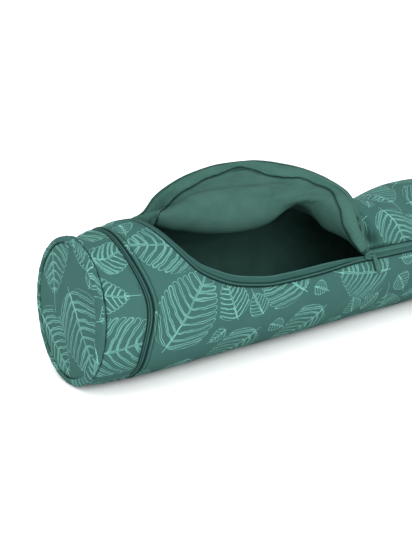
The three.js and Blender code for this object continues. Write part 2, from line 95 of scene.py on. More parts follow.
# Place in the opening, angle, distance from the axis, fold size and the turn of the fold
foldLine = [
    (0, 118, 1.0, 0, 0), (0.015, 119, 1.0, 0.1, 8), (0.04, 120, 0.99, 0.2, 14),
    (0.071, 119, 0.98, 0.3, 18), (0.1, 115.5, 0.96, 0.4, 30), (0.13, 108, 0.93, 0.5, 54),
    (0.17, 97, 0.86, 0.75, 84), (0.21, 90, 0.82, 1.2, 100), (0.25, 86.5, 0.79, 1.7, 112),
    (0.338, 84, 0.735, 2.2, 118), (0.437, 83, 0.695, 2.3, 116), (0.547, 82, 0.7, 2.1, 108),
    (0.63, 81, 0.76, 1.5, 94), (0.69, 80, 0.86, 1.0, 74), (0.74, 80, 0.94, 0.75, 60),
    (0.78, 80, 0.98, 0.6, 50), (0.81, 79, 0.985, 0.5, 42), (0.845, 74, 0.945, 0.4, 34),
    (0.875, 65, 0.83, 0.35, 26),
    (0.905, 55, 0.74, 0.3, 20), (0.935, 45, 0.77, 0.3, 14), (0.965, 33, 0.86, 0.2, 8), (1, 18, 1.0, 0, 0),
]
# Place in the opening, x as a share of it, y of the radius and z of the flap's rise above the tube
flapEdge = [
    (0, 0.000, 0.456, -0.239), (0.015, 0.020, 0.450, -0.213), (0.04, 0.057, 0.454, -0.189),
    (0.071, 0.093, 0.450, -0.163), (0.1, 0.124, 0.444, -0.135), (0.13, 0.152, 0.400, -0.011),
    (0.17, 0.188, 0.331, 0.315), (0.22, 0.239, 0.241, 0.576), (0.28, 0.320, 0.188, 0.789),
    (0.35, 0.455, 0.150, 0.957), (0.437, 0.620, 0.100, 0.985), (0.547, 0.773, 0.008, 0.843),
    (0.656, 0.876, -0.138, 0.658), (0.748, 0.950, -0.332, 0.405), (0.824, 0.985, -0.580, 0.110),
    (0.883, 0.982, -0.781, -0.217), (0.927, 0.974, -0.899, -0.547), (0.963, 0.978, -0.959, -0.924),
    (1, 1.000, -0.970, -1.293),
]


def smooth(t):
    c = min(1.0, max(0.0, t))
    return c * c * (3 - 2 * c)


def bump(t):
    return math.exp(-0.5 * t * t)


def wrap(angle):
    return (angle + 180) % 360 - 180


# Distance of a spot from the line between two others
def away(spot, a, b):
    du, dv = b[0] - a[0], b[1] - a[1]
    t = min(1.0, max(0.0, ((spot[0] - a[0]) * du + (spot[1] - a[1]) * dv) / (du * du + dv * dv)))
    return math.hypot(spot[0] - a[0] - du * t, spot[1] - a[1] - dv * t)


# Smooth curve through one column of a table
def lookUp(rows, column, key):
    last = len(rows) - 1
    if key <= rows[0][0]:
        return rows[0][column]
    if key >= rows[last][0]:
        return rows[last][column]
    i = 0
    while key > rows[i + 1][0]:
        i += 1

    def slope(k):
        a, b = max(0, k - 1), min(last, k + 1)
        return (rows[b][column] - rows[a][column]) / (rows[b][0] - rows[a][0])

    width = rows[i + 1][0] - rows[i][0]
    t = (key - rows[i][0]) / width
    step = rows[i + 1][column] - rows[i][column]
    m0, m1 = slope(i) * width, slope(i + 1) * width
    if step == 0 or m0 * step < 0:
        m0 = 0
    if step == 0 or m1 * step < 0:
        m1 = 0
    m0 = math.copysign(min(abs(m0), 3 * abs(step)), m0)
    m1 = math.copysign(min(abs(m1), 3 * abs(step)), m1)
    t2, t3 = t * t, t * t * t
    return (rows[i][column] * (2 * t3 - 3 * t2 + 1) + m0 * (t3 - 2 * t2 + t)
            + rows[i + 1][column] * (3 * t2 - 2 * t3) + m1 * (t3 - t2))


def zipWave(x, angle):
    shift = sum(bagSizes["pocketWave"] * s * bump(wrap(angle - a) / w) for a, s, w in zipWaves)
    return shift * bump(x / (0.18 * tubeRadius))


outlineAt = {}


# Outer surface of the tube: angle 0 is the front, 90 the top
def tubePoint(x, angle, distance=1.0, inset=0.0):
    if x not in outlineAt:
        inPocket = x < 0
        share = x / (pocketLength if inPocket else matLength)
        rows = pocketOutline if inPocket else matOutline
        outlineAt[x] = [tubeRadius * lookUp(rows, k, share) for k in (1, 2, 3)] + [share]
    top, side, bottom, share = outlineAt[x]
    a = math.radians(angle)
    radius = distance
    for place, length, dentAngle, spread, depth in dents:
        along = (x / matLength - place) / length
        if abs(along) < 4:
            radius -= depth * bump(along) * bump(wrap(angle - dentAngle) / spread)
    y = -(side * radius - inset) * math.cos(a)
    z = math.sin(a) * ((top * radius if math.sin(a) > 0 else bottom) - inset)
    z = max(z, inset - bagSizes["axisHeight"])
    lean = -share * bagSizes["pocketLean"] * math.sin(a) if x < 0 else 0.0
    return Vector((x + zipWave(x, angle) + lean, y, z))


def flapEdgePoint(share):
    return Vector((flapX(lookUp(flapEdge, 1, share)),
                   tubeRadius * lookUp(flapEdge, 2, share),
                   tubeRadius + bagSizes["flapRise"] * lookUp(flapEdge, 3, share)))


# Way across the flap's free edge, from the cloth outwards
def flapEdgeWay(share):
    along = flapEdgePoint(min(1, share + 0.02)) - flapEdgePoint(max(0, share - 0.02))
    lean = math.radians(bagSizes["flapLean"])
    return Vector((0, -math.cos(lean), math.sin(lean))).cross(along.normalized()).normalized()


def tapeWidth(share):
    closing = smooth((1 - share) / 0.12)
    starting = smooth((share - 0.05) / 0.08)
    half = bagSizes["zipWidth"] / 2
    return (half - 0.3 + (bagSizes["flapTapeWidth"] - half) * closing) * starting


def bezier(a, b, c, d, t):
    s = 1 - t
    return a * s ** 3 + b * 3 * s * s * t + c * 3 * s * t * t + d * t ** 3


def flapX(share):
    return openingStart + openingLength * share


# Line across the flap: round its fold, over the cloth, to the seam of its zip tape
flapPathSizes = {"foldSteps": 8, "clothSteps": 24, "leaving": 0.3, "arriving": 0.35}


def flapPath(share):
    x = flapX(share)
    angle = lookUp(foldLine, 1, share)
    radius = bagSizes["foldRadius"] * lookUp(foldLine, 3, share)
    turn = math.radians(lookUp(foldLine, 4, share))
    start = tubePoint(x, angle, lookUp(foldLine, 2, share))
    a = math.radians(angle)
    out = Vector((0, -math.cos(a), math.sin(a)))
    on = Vector((0, -math.sin(a), -math.cos(a)))
    points = [start]
    foldSteps, clothSteps = flapPathSizes["foldSteps"], flapPathSizes["clothSteps"]
    for k in range(1, foldSteps + 1):
        t = turn * k / foldSteps
        points.append(start + on * radius * math.sin(t) + out * radius * (1 - math.cos(t)))
    way = flapEdgeWay(share)
    edge = flapEdgePoint(share)
    width = min(tapeWidth(share), 0.6 * (edge - start).length)
    seam = edge - way * width
    origin = points[-1]
    pre = seam - way * min(bagSizes["seamAllowance"], 0.2 * (seam - origin).length)
    heading = on * math.cos(turn) + out * math.sin(turn)
    reach = (pre - origin).length
    leaving = origin + heading * flapPathSizes["leaving"] * reach
    arriving = pre - way * flapPathSizes["arriving"] * reach
    points += [bezier(origin, leaving, arriving, pre, k / clothSteps) for k in range(1, clothSteps + 1)]
    points.append(seam)
    return points, edge, way, width


# Points at the given distances along a line of points
def alongLine(points, distances):
    reached = [0.0]
    for a, b in zip(points, points[1:]):
        reached.append(reached[-1] + (b - a).length)
    found, i = [], 0
    for d in distances:
        d = min(max(d, 0.0), reached[-1])
        while i < len(points) - 2 and reached[i + 1] < d:
            i += 1
        step = reached[i + 1] - reached[i]
        t = (d - reached[i]) / step if step > 1e-9 else 0.0
        found.append(points[i].lerp(points[i + 1], t))
    return found


def lineLength(points):
    return sum((b - a).length for a, b in zip(points, points[1:]))


def soft(x, y, z=0.0):
    return noise.noise(Vector((x, y, z)))


# Soft waves of the cloth: rise, length one way and the other, and place in the noise
clothWaves = {
    "wall": ((0.7, 70, 42, 3.1), (0.4, 26, 22, 7.7)),
    "pocket": ((0.55, 24, 30, 12.0), (0.5, 11, 13, 14.0)),
    "welt": ((0.8, 9, 1, 0), (0.25, 2.6, 1, 4)),
    "panel": ((0.8, 34, 34, 0), (0.35, 12, 12, 2)),
    "band": ((0.8, 11, 6, 1.0), (0.5, 4.6, 8, 3.0)),
}


def ripple(waves, a, b, seed=0):
    return sum(rise * soft(a / longA, b / longB, seed + z) for rise, longA, longB, z in clothWaves[waves])


farFromSeam = 9.0


# Leaves of the print, largest first: length, vein count, tries and room kept round each
printSizes = {
    "kinds": (
        (86.0, 10, 900, -2.0), (74.0, 9, 900, -1.5), (50.0, 8, 1300, -1.0), (31.0, 6, 2600, -0.5),
        (21.0, 5, 3600, -0.2),
    ),
    "lineWidth": 0.52, "leanOfVeins": 0.36, "halfWidth": 0.42, "lobeGap": 0.15, "cell": 90.0,
    "areaOfTries": 640000.0, "leastTries": 60, "lengthSpread": 0.08,
}
# Discs that cover a leaf: place along it and radius, as shares of its length
leafDiscShares = ((0.13, 0.27), (0.36, 0.4), (0.62, 0.32), (0.84, 0.17), (1.02, 0.06), (1.15, 0.04))


def leafDiscs(leaf):
    u, v, turn, length, veins = leaf
    c, s = math.cos(turn), math.sin(turn)
    return [(u + c * length * a, v + s * length * a, r * length) for a, r in leafDiscShares]


def leafFits(leaf, placed, room):
    discs = leafDiscs(leaf)
    for other, otherDiscs in placed:
        reach = 1.2 * (other[3] + leaf[3])
        if abs(other[0] - leaf[0]) > reach or abs(other[1] - leaf[1]) > reach:
            continue
        for u, v, r in otherDiscs:
            for a, b, q in discs:
                if math.hypot(u - a, v - b) < r + q + room:
                    return False
    return True


# Leaves tossed at random where they fit: large ones first, then smaller ones in the gaps
def scatterLeaves(low, high, seed):
    rng = random.Random(seed)
    placed = []
    share = (high[0] - low[0]) * (high[1] - low[1]) / printSizes["areaOfTries"]
    least, most = 1 - printSizes["lengthSpread"], 1 + printSizes["lengthSpread"]
    for length, veins, tries, room in printSizes["kinds"]:
        for attempt in range(int(tries * share) + printSizes["leastTries"]):
            leaf = (rng.uniform(low[0], high[0]), rng.uniform(low[1], high[1]),
                    rng.uniform(0, 2 * math.pi), length * rng.uniform(least, most), veins)
            if leafFits(leaf, placed, room):
                placed.append((leaf, leafDiscs(leaf)))
    return [leaf for leaf, discs in placed]


# Place on the cloth in a leaf's own coordinates: along its midrib, then across
def leafPlace(leaf, u, v):
    c, s = math.cos(leaf[2]), math.sin(leaf[2])
    du, dv = (u - leaf[0]) / leaf[3], (v - leaf[1]) / leaf[3]
    return du * c + dv * s, dv * c - du * s


# Each face gets its nearest leaf's own coordinates, so a leaf is drawn whole on the cloth
def addLeaves(mesh, leaves):
    cloth = mesh.loops.layers.uv["cloth"]
    leafMap = mesh.loops.layers.uv.new("leaf")
    styleMap = mesh.loops.layers.uv.new("leafStyle")
    cell = printSizes["cell"]
    cells = {}
    for leaf in leaves:
        u = leaf[0] + math.cos(leaf[2]) * leaf[3] / 2
        v = leaf[1] + math.sin(leaf[2]) * leaf[3] / 2
        for du in (-1, 0, 1):
            for dv in (-1, 0, 1):
                cells.setdefault((int(u // cell) + du, int(v // cell) + dv), []).append(leaf)
    for face in mesh.faces:
        u = sum(loop[cloth].uv.x for loop in face.loops) / len(face.loops) / mm
        v = sum(loop[cloth].uv.y for loop in face.loops) / len(face.loops) / mm
        best, nearest = None, math.inf
        for leaf in cells.get((int(u // cell), int(v // cell)), ()):
            s, t = leafPlace(leaf, u, v)
            far = ((s - 0.42) / 0.6) ** 2 + (t / 0.46) ** 2
            if s > 1.0:
                far = min(far, ((s - 1.1) / 0.2) ** 2 + (t / 0.1) ** 2)
            if far < nearest:
                best, nearest = leaf, far
        for loop in face.loops:
            if best is None:
                loop[leafMap].uv = (0.5, 9.0)
                loop[styleMap].uv = (6, 0.02)
                continue
            at = loop[cloth].uv
            loop[leafMap].uv = leafPlace(best, at.x / mm, at.y / mm)
            loop[styleMap].uv = (best[4], printSizes["lineWidth"] / best[3])


# Object at the origin from a bmesh, shaded, given its material and put on the frame
def finishPiece(name, mesh, material, nodes=(), thickness=0.0):
    data = bpy.data.meshes.new(name)
    mesh.to_mesh(data)
    mesh.free()
    piece = bpy.data.objects.new(name, data)
    scene.collection.objects.link(piece)
    data.polygons.foreach_set("use_smooth", [True] * len(data.polygons))
    data.materials.append(material)
    if thickness:
        wall = piece.modifiers.new("wall", "SOLIDIFY")
        wall.thickness = thickness * mm
        wall.offset = -1
    if nodes:
        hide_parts(*nodes)
    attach(piece, "root")
    return piece


# Faces turned so that they look the way that outward gives for most of their area
def faceOutwards(mesh, outward):
    if outward is None:
        bmesh.ops.recalc_face_normals(mesh, faces=mesh.faces)
        return
    facing = 0.0
    for face in mesh.faces:
        facing += face.calc_area() * face.normal.dot(outward(face.calc_center_median() / mm))
    if facing < 0:
        bmesh.ops.reverse_faces(mesh, faces=mesh.faces)


# Cloth from rows of (point, u, v): a grid whose corners are moved to their places
def sheetMesh(rows, outward, relief=None, seams=None):
    countI, countJ = len(rows) - 1, len(rows[0]) - 1
    mesh = bmesh.new()
    bmesh.ops.create_grid(mesh, x_segments=countI, y_segments=countJ, size=0.5)
    rise = mesh.verts.layers.float.new("rise")
    cloth = mesh.loops.layers.uv.new("cloth")
    # The seam map holds the distance to the nearest seam, groove or crease; the materials paint shade where
    # it is small
    seamMap = mesh.loops.layers.uv.new("seam")
    place = {}
    for vert in mesh.verts:
        i, j = round((vert.co.x + 0.5) * countI), round((vert.co.y + 0.5) * countJ)
        place[vert] = (i, j)
        vert[rise] = relief[i][j] if relief else 0.0
    for face in mesh.faces:
        for loop in face.loops:
            i, j = place[loop.vert]
            loop[cloth].uv = (rows[i][j][1] * mm, rows[i][j][2] * mm)
            loop[seamMap].uv = (seams[i][j] if seams else farFromSeam, 0.0)
    for vert, (i, j) in place.items():
        vert.co = rows[i][j][0] * mm
    bmesh.ops.remove_doubles(mesh, verts=mesh.verts, dist=0.02 * mm)
    bmesh.ops.dissolve_degenerate(mesh, edges=mesh.edges, dist=0.001 * mm)
    mesh.normal_update()
    faceOutwards(mesh, outward)
    mesh.normal_update()
    normals = {vert: vert.normal.copy() for vert in mesh.verts}
    for vert, normal in normals.items():
        vert.co += normal * vert[rise] * mm
    bmesh.ops.translate(mesh, verts=mesh.verts, vec=bagSizes["origin"] * mm)
    for vert in mesh.verts:
        vert.co.z = max(vert.co.z, 0.0)
    mesh.normal_update()
    return mesh


def fromAxis(point):
    return Vector((0, point.y, point.z))


# The printed cloth's seam colour is painted shade: the print is darkened towards it in the seams, stitch
# grooves and creases.
clothStyle = {
    "ground": (0.027, 0.078, 0.07), "groundLight": (0.036, 0.097, 0.087),
    "line": (0.128, 0.318, 0.272), "seam": (0.006, 0.021, 0.018), "roughness": 0.85, "weavePitch": 0.75,
}
# The edge colours of the lining, binding and tapes are painted shade in their seams, grooves and creases,
# faded out over the given distance range; the tapes' ridge colour is a painted highlight on their raised
# ridges and upper faces.
liningStyle = {
    "colour": (0.037, 0.09, 0.075), "dark": (0.028, 0.072, 0.06), "edge": (0.006, 0.02, 0.017),
    "roughness": 0.72, "seamShadeFade": (0.6, 2.7),
}
bindingStyle = {
    "colour": (0.037, 0.094, 0.078), "dark": (0.028, 0.075, 0.062), "edge": (0.006, 0.02, 0.017),
    "roughness": 0.75, "seamShadeFade": (0.2, 1.4),
}
tapeStyle = {
    "colour": (0.026, 0.076, 0.068), "dark": (0.0208, 0.0608, 0.0544), "edge": (0.006, 0.021, 0.019),
    "ridge": (0.04, 0.105, 0.095), "roughness": 0.7, "seamShadeFade": (0.2, 1.4), "ribPitch": 1.45, "ribs": 0.24,
}
coilStyle = {"dark": (0.016, 0.05, 0.044), "light": (0.026, 0.07, 0.061), "roughness": 0.42}
metalStyle = {
    "colour": (0.024, 0.078, 0.068), "worn": (0.13, 0.26, 0.235), "roughness": 0.4, "specular": 0.12,
}


# Number in a node tree: sums written with it add the nodes that work them out
class Value:
    def __init__(self, calc, socket):
        self.calc, self.socket = calc, socket

    def __add__(self, other):
        return self.calc("ADD", self, other)

    def __sub__(self, other):
        return self.calc("SUBTRACT", self, other)

    def __mul__(self, other):
        return self.calc("MULTIPLY", self, other)

    def __truediv__(self, other):
        return self.calc("DIVIDE", self, other)

    def __rsub__(self, other):
        return self.calc("SUBTRACT", other, self)

    def __rtruediv__(self, other):
        return self.calc("DIVIDE", other, self)


# Short ways to add and join nodes in one tree
def nodeTools(tree):
    def put(socket, value):
        value = value.socket if isinstance(value, Value) else value
        if isinstance(value, bpy.types.NodeSocket):
            tree.links.new(value, socket)
        elif isinstance(socket, bpy.types.NodeSocketColor):
            socket.default_value = (*value, 1)
        else:
            socket.default_value = value

    def calc(operation, *values):
        node = tree.nodes.new("ShaderNodeMath")
        node.operation = operation
        for k, value in enumerate(values):
            put(node.inputs[k], value)
        return Value(calc, node.outputs[0])

    def add(kind, outputName, **inputs):
        node = tree.nodes.new(kind)
        for key, value in inputs.items():
            put(node.inputs[key.replace("_", " ")], value)
        return node.outputs[outputName]

    def mix(factor, a, b, blend="MIX"):
        node = tree.nodes.new("ShaderNodeMix")
        node.data_type = "RGBA"
        node.blend_type = blend
        put(node.inputs["Factor"], factor)
        put(node.inputs[6], a)
        put(node.inputs[7], b)
        return node.outputs[2]

    def parts(vector):
        node = tree.nodes.new("ShaderNodeSeparateXYZ")
        put(node.inputs[0], vector)
        return [Value(calc, node.outputs[k]) for k in range(2)]

    # Goes from one result to another while the value goes from start to end
    def ramp(value, start, end, before=0.0, after=1.0, kind="LINEAR"):
        node = tree.nodes.new("ShaderNodeMapRange")
        node.interpolation_type = kind
        for key, setting in (("Value", value), ("From Min", start), ("From Max", end),
                             ("To Min", before), ("To Max", after)):
            put(node.inputs[key], setting)
        return Value(calc, node.outputs["Result"])

    return put, calc, add, mix, parts, ramp


def newGroup(name, inputs, outputs):
    tree = bpy.data.node_groups.new(name, "ShaderNodeTree")
    for label, kind in inputs:
        tree.interface.new_socket(label, in_out="INPUT", socket_type=kind)
    for label, kind in outputs:
        tree.interface.new_socket(label, in_out="OUTPUT", socket_type=kind)
    source = tree.nodes.new("NodeGroupInput")
    target = tree.nodes.new("NodeGroupOutput")
    return tree, source, target


# Line drawing of a leaf from its own coordinates: lobes between veins, midrib, long tip
def makeLeafDrawing():
    tree, source, target = newGroup(
        "leafDrawing", [("Leaf", "NodeSocketVector"), ("Style", "NodeSocketVector")],
        [("Lines", "NodeSocketFloat")])
    put, calc, add, mix, parts, ramp = nodeTools(tree)
    place = source.outputs["Leaf"]
    shiftS, shiftT = parts(add("ShaderNodeTexNoise", "Color", Vector=place, Scale=7.0, Detail=1.0))
    s, t = parts(place)
    count, line = parts(source.outputs["Style"])
    s = s + (shiftS - 0.5) * 0.05
    t = t + (shiftT - 0.5) * 0.05
    t = t - calc("SINE", s * 3.1) * 0.03
    a = calc("ABSOLUTE", t)

    # Outline of the leaf, then the veins that sweep forward to it
    rising = calc("POWER", calc("MAXIMUM", s, 0.0), 0.48)
    falling = calc("POWER", calc("MAXIMUM", 1.0 - s, 0.0), 0.85)
    margin = rising * falling * (printSizes["halfWidth"] / 0.413)
    sweep = a * printSizes["leanOfVeins"] + a * a * 0.9
    phase = (s - sweep) * count
    p = calc("FRACT", phase)
    near = calc("MINIMUM", p, 1.0 - p)

    # Large leaves have a gap between their lobes, narrower at the midrib
    gap = (0.019 - line) * (printSizes["lobeGap"] / 0.012)
    gap = calc("MINIMUM", calc("MAXIMUM", gap, 0.0), printSizes["lobeGap"])
    gap = gap * calc("MINIMUM", a / calc("MAXIMUM", margin, 0.01) + 0.3, 1.0)
    spacing = 0.93 / count

    # Distance inside a lobe with round corners
    fromVein, fromMargin, fromMidrib = (near - gap) * spacing, margin - a, a - line * 1.4
    corner = spacing * 0.3
    k1 = calc("MAXIMUM", corner - fromVein, 0.0)
    k2 = calc("MAXIMUM", corner - fromMargin, 0.0)
    lobe = calc("MINIMUM", corner - calc("SQRT", k1 * k1 + k2 * k2), fromMidrib)

    def stroke(distance, width):
        return ramp(calc("ABSOLUTE", distance), width * 0.35, width * 0.8, 1.0, 0.0, "SMOOTHSTEP")

    def within(value, low, high):
        return calc("GREATER_THAN", value, low) * calc("LESS_THAN", value, high)

    # Some lobes of the large leaves are drawn with a second line
    chance = tree.nodes.new("ShaderNodeTexWhiteNoise")
    chance.noise_dimensions = "1D"
    put(chance.inputs["W"], calc("FLOOR", phase) + calc("SIGN", t) * 17.3)
    twice = stroke(lobe - line * 1.9, line) * calc("GREATER_THAN", chance.outputs["Value"], 0.62)
    twice = twice * calc("LESS_THAN", line, 0.011)
    lines = calc("MAXIMUM", stroke(lobe, line), twice * 0.8) * within(s, 0.0, 0.97)
    tip = stroke(t, calc("MAXIMUM", (1.24 - s) * (line * 4.5), line)) * within(s, 0.9, 1.2)
    stalk = stroke(t, line * 1.6) * within(s, -0.07, 0.3)
    lines = calc("MAXIMUM", lines, calc("MAXIMUM", tip, stalk))
    put(target.inputs["Lines"], calc("MINIMUM", lines, 1.0))
    return tree


# Plain weave from flat cloth coordinates in metres, with uneven threads
def makeWeave():
    tree, source, target = newGroup(
        "plainWeave", [("Cloth", "NodeSocketVector"), ("Pitch", "NodeSocketFloat")],
        [("Height", "NodeSocketFloat"), ("Slub", "NodeSocketFloat")])
    put, calc, add, mix, parts, ramp = nodeTools(tree)
    cloth = source.outputs["Cloth"]
    turn = 2 * math.pi * mm / calc("MULTIPLY", source.outputs["Pitch"], mm * mm)
    across, along = parts(cloth)
    put(target.inputs["Height"], calc("SINE", across * turn) * calc("SINE", along * turn) * 0.5 + 0.5)
    threads = []
    for scale in ((140, 1500, 1), (1500, 140, 1)):
        stretched = add("ShaderNodeMapping", "Vector", Vector=cloth, Scale=scale)
        noise = add("ShaderNodeTexNoise", "Fac", Vector=stretched, Scale=1.0, Detail=2.0)
        threads.append(Value(calc, noise))
    put(target.inputs["Slub"], (threads[0] + threads[1]) * 0.5)
    return tree


leafDrawing, plainWeave = makeLeafDrawing(), makeWeave()


# Matt material with its shader and node tree
def newMaterial(name, roughness, specular=0.04):
    material = bpy.data.materials.new(name)
    material.use_nodes = True
    shader = material.node_tree.nodes["Principled BSDF"]
    shader.inputs["Roughness"].default_value = roughness
    shader.inputs["Specular IOR Level"].default_value = specular
    return material, shader, material.node_tree


def uvMap(tree, name):
    node = tree.nodes.new("ShaderNodeUVMap")
    node.uv_map = name
    return node.outputs["UV"]


# Weave over a colour: uneven threads darken it and the bump takes the crossings
def weaveOn(tree, shader, colour, pitch, depth):
    put, calc, add, mix, parts, ramp = nodeTools(tree)
    weave = tree.nodes.new("ShaderNodeGroup")
    weave.node_tree = plainWeave
    put(weave.inputs["Cloth"], uvMap(tree, "cloth"))
    put(weave.inputs["Pitch"], pitch)
    crossings, slub = (Value(calc, weave.outputs[name]) for name in ("Height", "Slub"))
    put(shader.inputs["Base Color"], mix(1.0, colour, ramp(slub, 0.3, 0.7, 0.88, 1.1), "MULTIPLY"))
    put(shader.inputs["Normal"], add("ShaderNodeBump", "Normal", Height=crossings * 0.6 + slub * 0.8,
                                     Strength=depth, Distance=0.3 * mm))


def printedCloth():
    material, shader, tree = newMaterial("printedCloth", clothStyle["roughness"])
    put, calc, add, mix, parts, ramp = nodeTools(tree)
    drawing = tree.nodes.new("ShaderNodeGroup")
    drawing.node_tree = leafDrawing
    put(drawing.inputs["Leaf"], uvMap(tree, "leaf"))
    put(drawing.inputs["Style"], uvMap(tree, "leafStyle"))
    cloth = uvMap(tree, "cloth")
    patches = add("ShaderNodeTexNoise", "Fac", Vector=cloth, Scale=22.0, Detail=3.0)
    ground = mix(patches, clothStyle["ground"], clothStyle["groundLight"])
    faded = Value(calc, add("ShaderNodeTexNoise", "Fac", Vector=cloth, Scale=160.0, Detail=2.0))
    strength = (faded * 0.6 + 0.62) * drawing.outputs["Lines"]
    colour = mix(calc("MINIMUM", strength, 1.0), ground, clothStyle["line"])
    # Painted shade: near seams, in the stitch grooves and in the crease behind the slider the print darkens
    # towards the seam colour.
    fromSeam = parts(uvMap(tree, "seam"))[0]
    colour = mix(ramp(fromSeam, 0.3, 1.6, 0.8, 0.0), colour, clothStyle["seam"])
    weaveOn(tree, shader, colour, clothStyle["weavePitch"], 0.5)
    return material


# Plain cloth with darker random patches and painted shade along its seams, grooves and creases, and for
# tapes a painted highlight on the ridges and darker ribs
def plainCloth(name, style, pitch, depth):
    material, shader, tree = newMaterial(name, style["roughness"])
    put, calc, add, mix, parts, ramp = nodeTools(tree)
    cloth = uvMap(tree, "cloth")
    patches = add("ShaderNodeTexNoise", "Fac", Vector=cloth, Scale=30.0, Detail=3.0)
    colour = mix(ramp(patches, 0.35, 0.7), style["colour"], style["dark"])
    fromSeam = parts(uvMap(tree, "seam"))[0]
    # Painted highlight: the tapes are lighter on their raised ridges and upper faces.
    if "ridge" in style:
        ridge = ramp(fromSeam, 2.0, 4.0) * calc("LESS_THAN", fromSeam, 6.0)
        colour = mix(ridge, colour, style["ridge"])
    if "ribs" in style:
        across = parts(cloth)[1]
        wave = calc("SINE", across * (2 * math.pi / mm / style["ribPitch"]))
        colour = mix((wave * 0.5 + 0.5) * style["ribs"], colour, style["edge"])
    # Painted shade: the colour darkens towards the edge colour near seams, in grooves and in creases.
    start, end = style["seamShadeFade"]
    colour = mix(ramp(fromSeam, start, end, 0.85, 0.0), colour, style["edge"])
    weaveOn(tree, shader, colour, pitch, depth)
    return material


def paintedMetal():
    material, shader, tree = newMaterial("sliderPaint", metalStyle["roughness"], metalStyle["specular"])
    put, calc, add, mix, parts, ramp = nodeTools(tree)
    place = add("ShaderNodeTexCoord", "Object")
    spots = add("ShaderNodeTexNoise", "Fac", Vector=place, Scale=420.0, Detail=3.0)
    worn = ramp(spots, 0.66, 0.78)
    put(shader.inputs["Base Color"], mix(worn, metalStyle["colour"], metalStyle["worn"]))
    put(shader.inputs["Roughness"], ramp(spots, 0.0, 1.0, 0.25, 0.5))
    return material


def coilPlastic():
    material, shader, tree = newMaterial("coilPlastic", coilStyle["roughness"])
    put, calc, add, mix, parts, ramp = nodeTools(tree)
    place = add("ShaderNodeTexCoord", "Object")
    spots = add("ShaderNodeTexNoise", "Fac", Vector=place, Scale=260.0, Detail=2.0)
    put(shader.inputs["Base Color"], mix(spots, coilStyle["dark"], coilStyle["light"]))
    return material


clothPrint = printedCloth()
liningCloth = plainCloth("liningCloth", liningStyle, 0.55, 0.35)
bindingCloth = plainCloth("bindingCloth", bindingStyle, 0.6, 0.4)
tapeCloth = plainCloth("tapeCloth", tapeStyle, 0.8, 0.6)
sliderPaint, coilLook = paintedMetal(), coilPlastic()
print("materials made")


# Camera at the photograph's angle, above the floor: place in metres, angles in degrees
cameraSizes = {
    "place": (-0.66038, -0.6379, 0.3104), "down": 15.83, "heading": 36.66, "lens": 33.22, "sensor": 24.0,
}
camera = bpy.data.objects.new("camera", bpy.data.cameras.new("camera"))
scene.collection.objects.link(camera)
camera.location = cameraSizes["place"]
tilt, turn = math.radians(90 - cameraSizes["down"]), -math.radians(cameraSizes["heading"])
camera.rotation_euler = (tilt, 0, turn)
camera.data.sensor_fit = "VERTICAL"
camera.data.sensor_height = cameraSizes["sensor"]
camera.data.lens = cameraSizes["lens"]
camera.data.clip_start = 0.01
scene.camera = camera

# Angles of the closed zip's edges, where the mat compartment's cloth starts and where its zip ends
closedFront = lookUp(frontEdge, 1, 1.3)
zipCentre = closedFront + zipHalf
closedBack = closedFront + 2 * zipHalf
bodyStart = 0.7
zipEnd = matLength - bagSizes["zipEndGap"]


def arc(angle):
    return math.radians(angle) * tubeRadius


# Point of the tube from cloth coordinates, raised along its surface normal
def onTube(u, v, lift=0.0):
    point = tubePoint(u, math.degrees(v / tubeRadius))
    if lift:
        point = point + tubeNormal(u, v) * lift
    return point


def tubeNormal(u, v):
    a = onTube(u + 0.4, v) - onTube(u - 0.4, v)
    b = onTube(u, v + 0.4) - onTube(u, v - 0.4)
    return a.cross(b).normalized()


# Rising numbers with fixed offsets at both ends and even steps between
def spread(start, end, count, first=(), last=()):
    low, high = start + (first[-1] if first else 0), end - (last[0] if last else 0)
    middle = [low + (high - low) * k / count for k in range(count + 1)]
    return [start + d for d in first[:-1]] + middle + [end - d for d in last[1:]]


# Edge lines in cloth coordinates, for the ridges and puckers beside the zips
edgeSizes = {
    "openSpots": 1400, "closedStep": 0.5, "way": 0.006, "slopeStep": 0.004, "leastSlope": 0.16,
    "lipDrop": 1.1, "swell": 0.45, "groove": 0.55, "pucker": 0.6, "puckerLength": 5.2,
}


def edgeTree(points):
    tree = kdtree.KDTree(len(points))
    for k, (u, v) in enumerate(points):
        tree.insert((u, v, 0), k)
    tree.balance()
    return tree


def edgeSpot(share):
    return flapX(share), arc(lookUp(frontEdge, 1, share))


# Spot on the opening's front edge and the way across it, towards the opening
def acrossEdge(share):
    step = edgeSizes["way"]
    way = Vector(edgeSpot(share + step)) - Vector(edgeSpot(max(0.0, share - step)))
    across = Vector((-way.y, way.x)).normalized()
    return Vector(edgeSpot(share)), across if across.y > 0 or across.x > 0 else -across


openSpots, closedStep = edgeSizes["openSpots"], edgeSizes["closedStep"]
closedU = [openingEnd + k * closedStep for k in range(int((zipEnd - openingEnd) / closedStep))]
frontSpots = [edgeSpot(k / openSpots) for k in range(openSpots + 1)]
frontTree = edgeTree(frontSpots + [(u, arc(closedFront)) for u in closedU[1:]])
backTree = edgeTree([(u, arc(closedBack - 360)) for u in closedU])


def frontSlope(share):
    step = edgeSizes["slopeStep"]
    a, b = edgeSpot(max(0, share - step)), edgeSpot(min(1, share + step))
    return max(edgeSizes["leastSlope"], (b[0] - a[0]) / math.hypot(b[0] - a[0], b[1] - a[1]))


wallSizes = {
    "lip": (0, 0.35, 0.8, 1.5, 2.3, 3.2, 4.2), "columns": (44, 88, 30), "flapLip": (3.2, 2.2, 1.2, 0.5, 0),
    "foldSteps": (0, 0.8, 1.6, 2.5, 3.5, 4.6), "waist": -30, "stitchLine": 3.0, "ringLine": 4.4,
    "thickness": 1.3, "step": 3.1, "flapFrom": 0.025, "fullFlap": 12, "pinch": 1.2, "nearEdge": 14.0,
}


# Depth of the wall towards the fold of the flap
def foldDepth(angle, last, distance):
    if angle >= 180:
        return 1.0
    return 1 + (distance - 1) * smooth((180 - angle) / (180 - last))


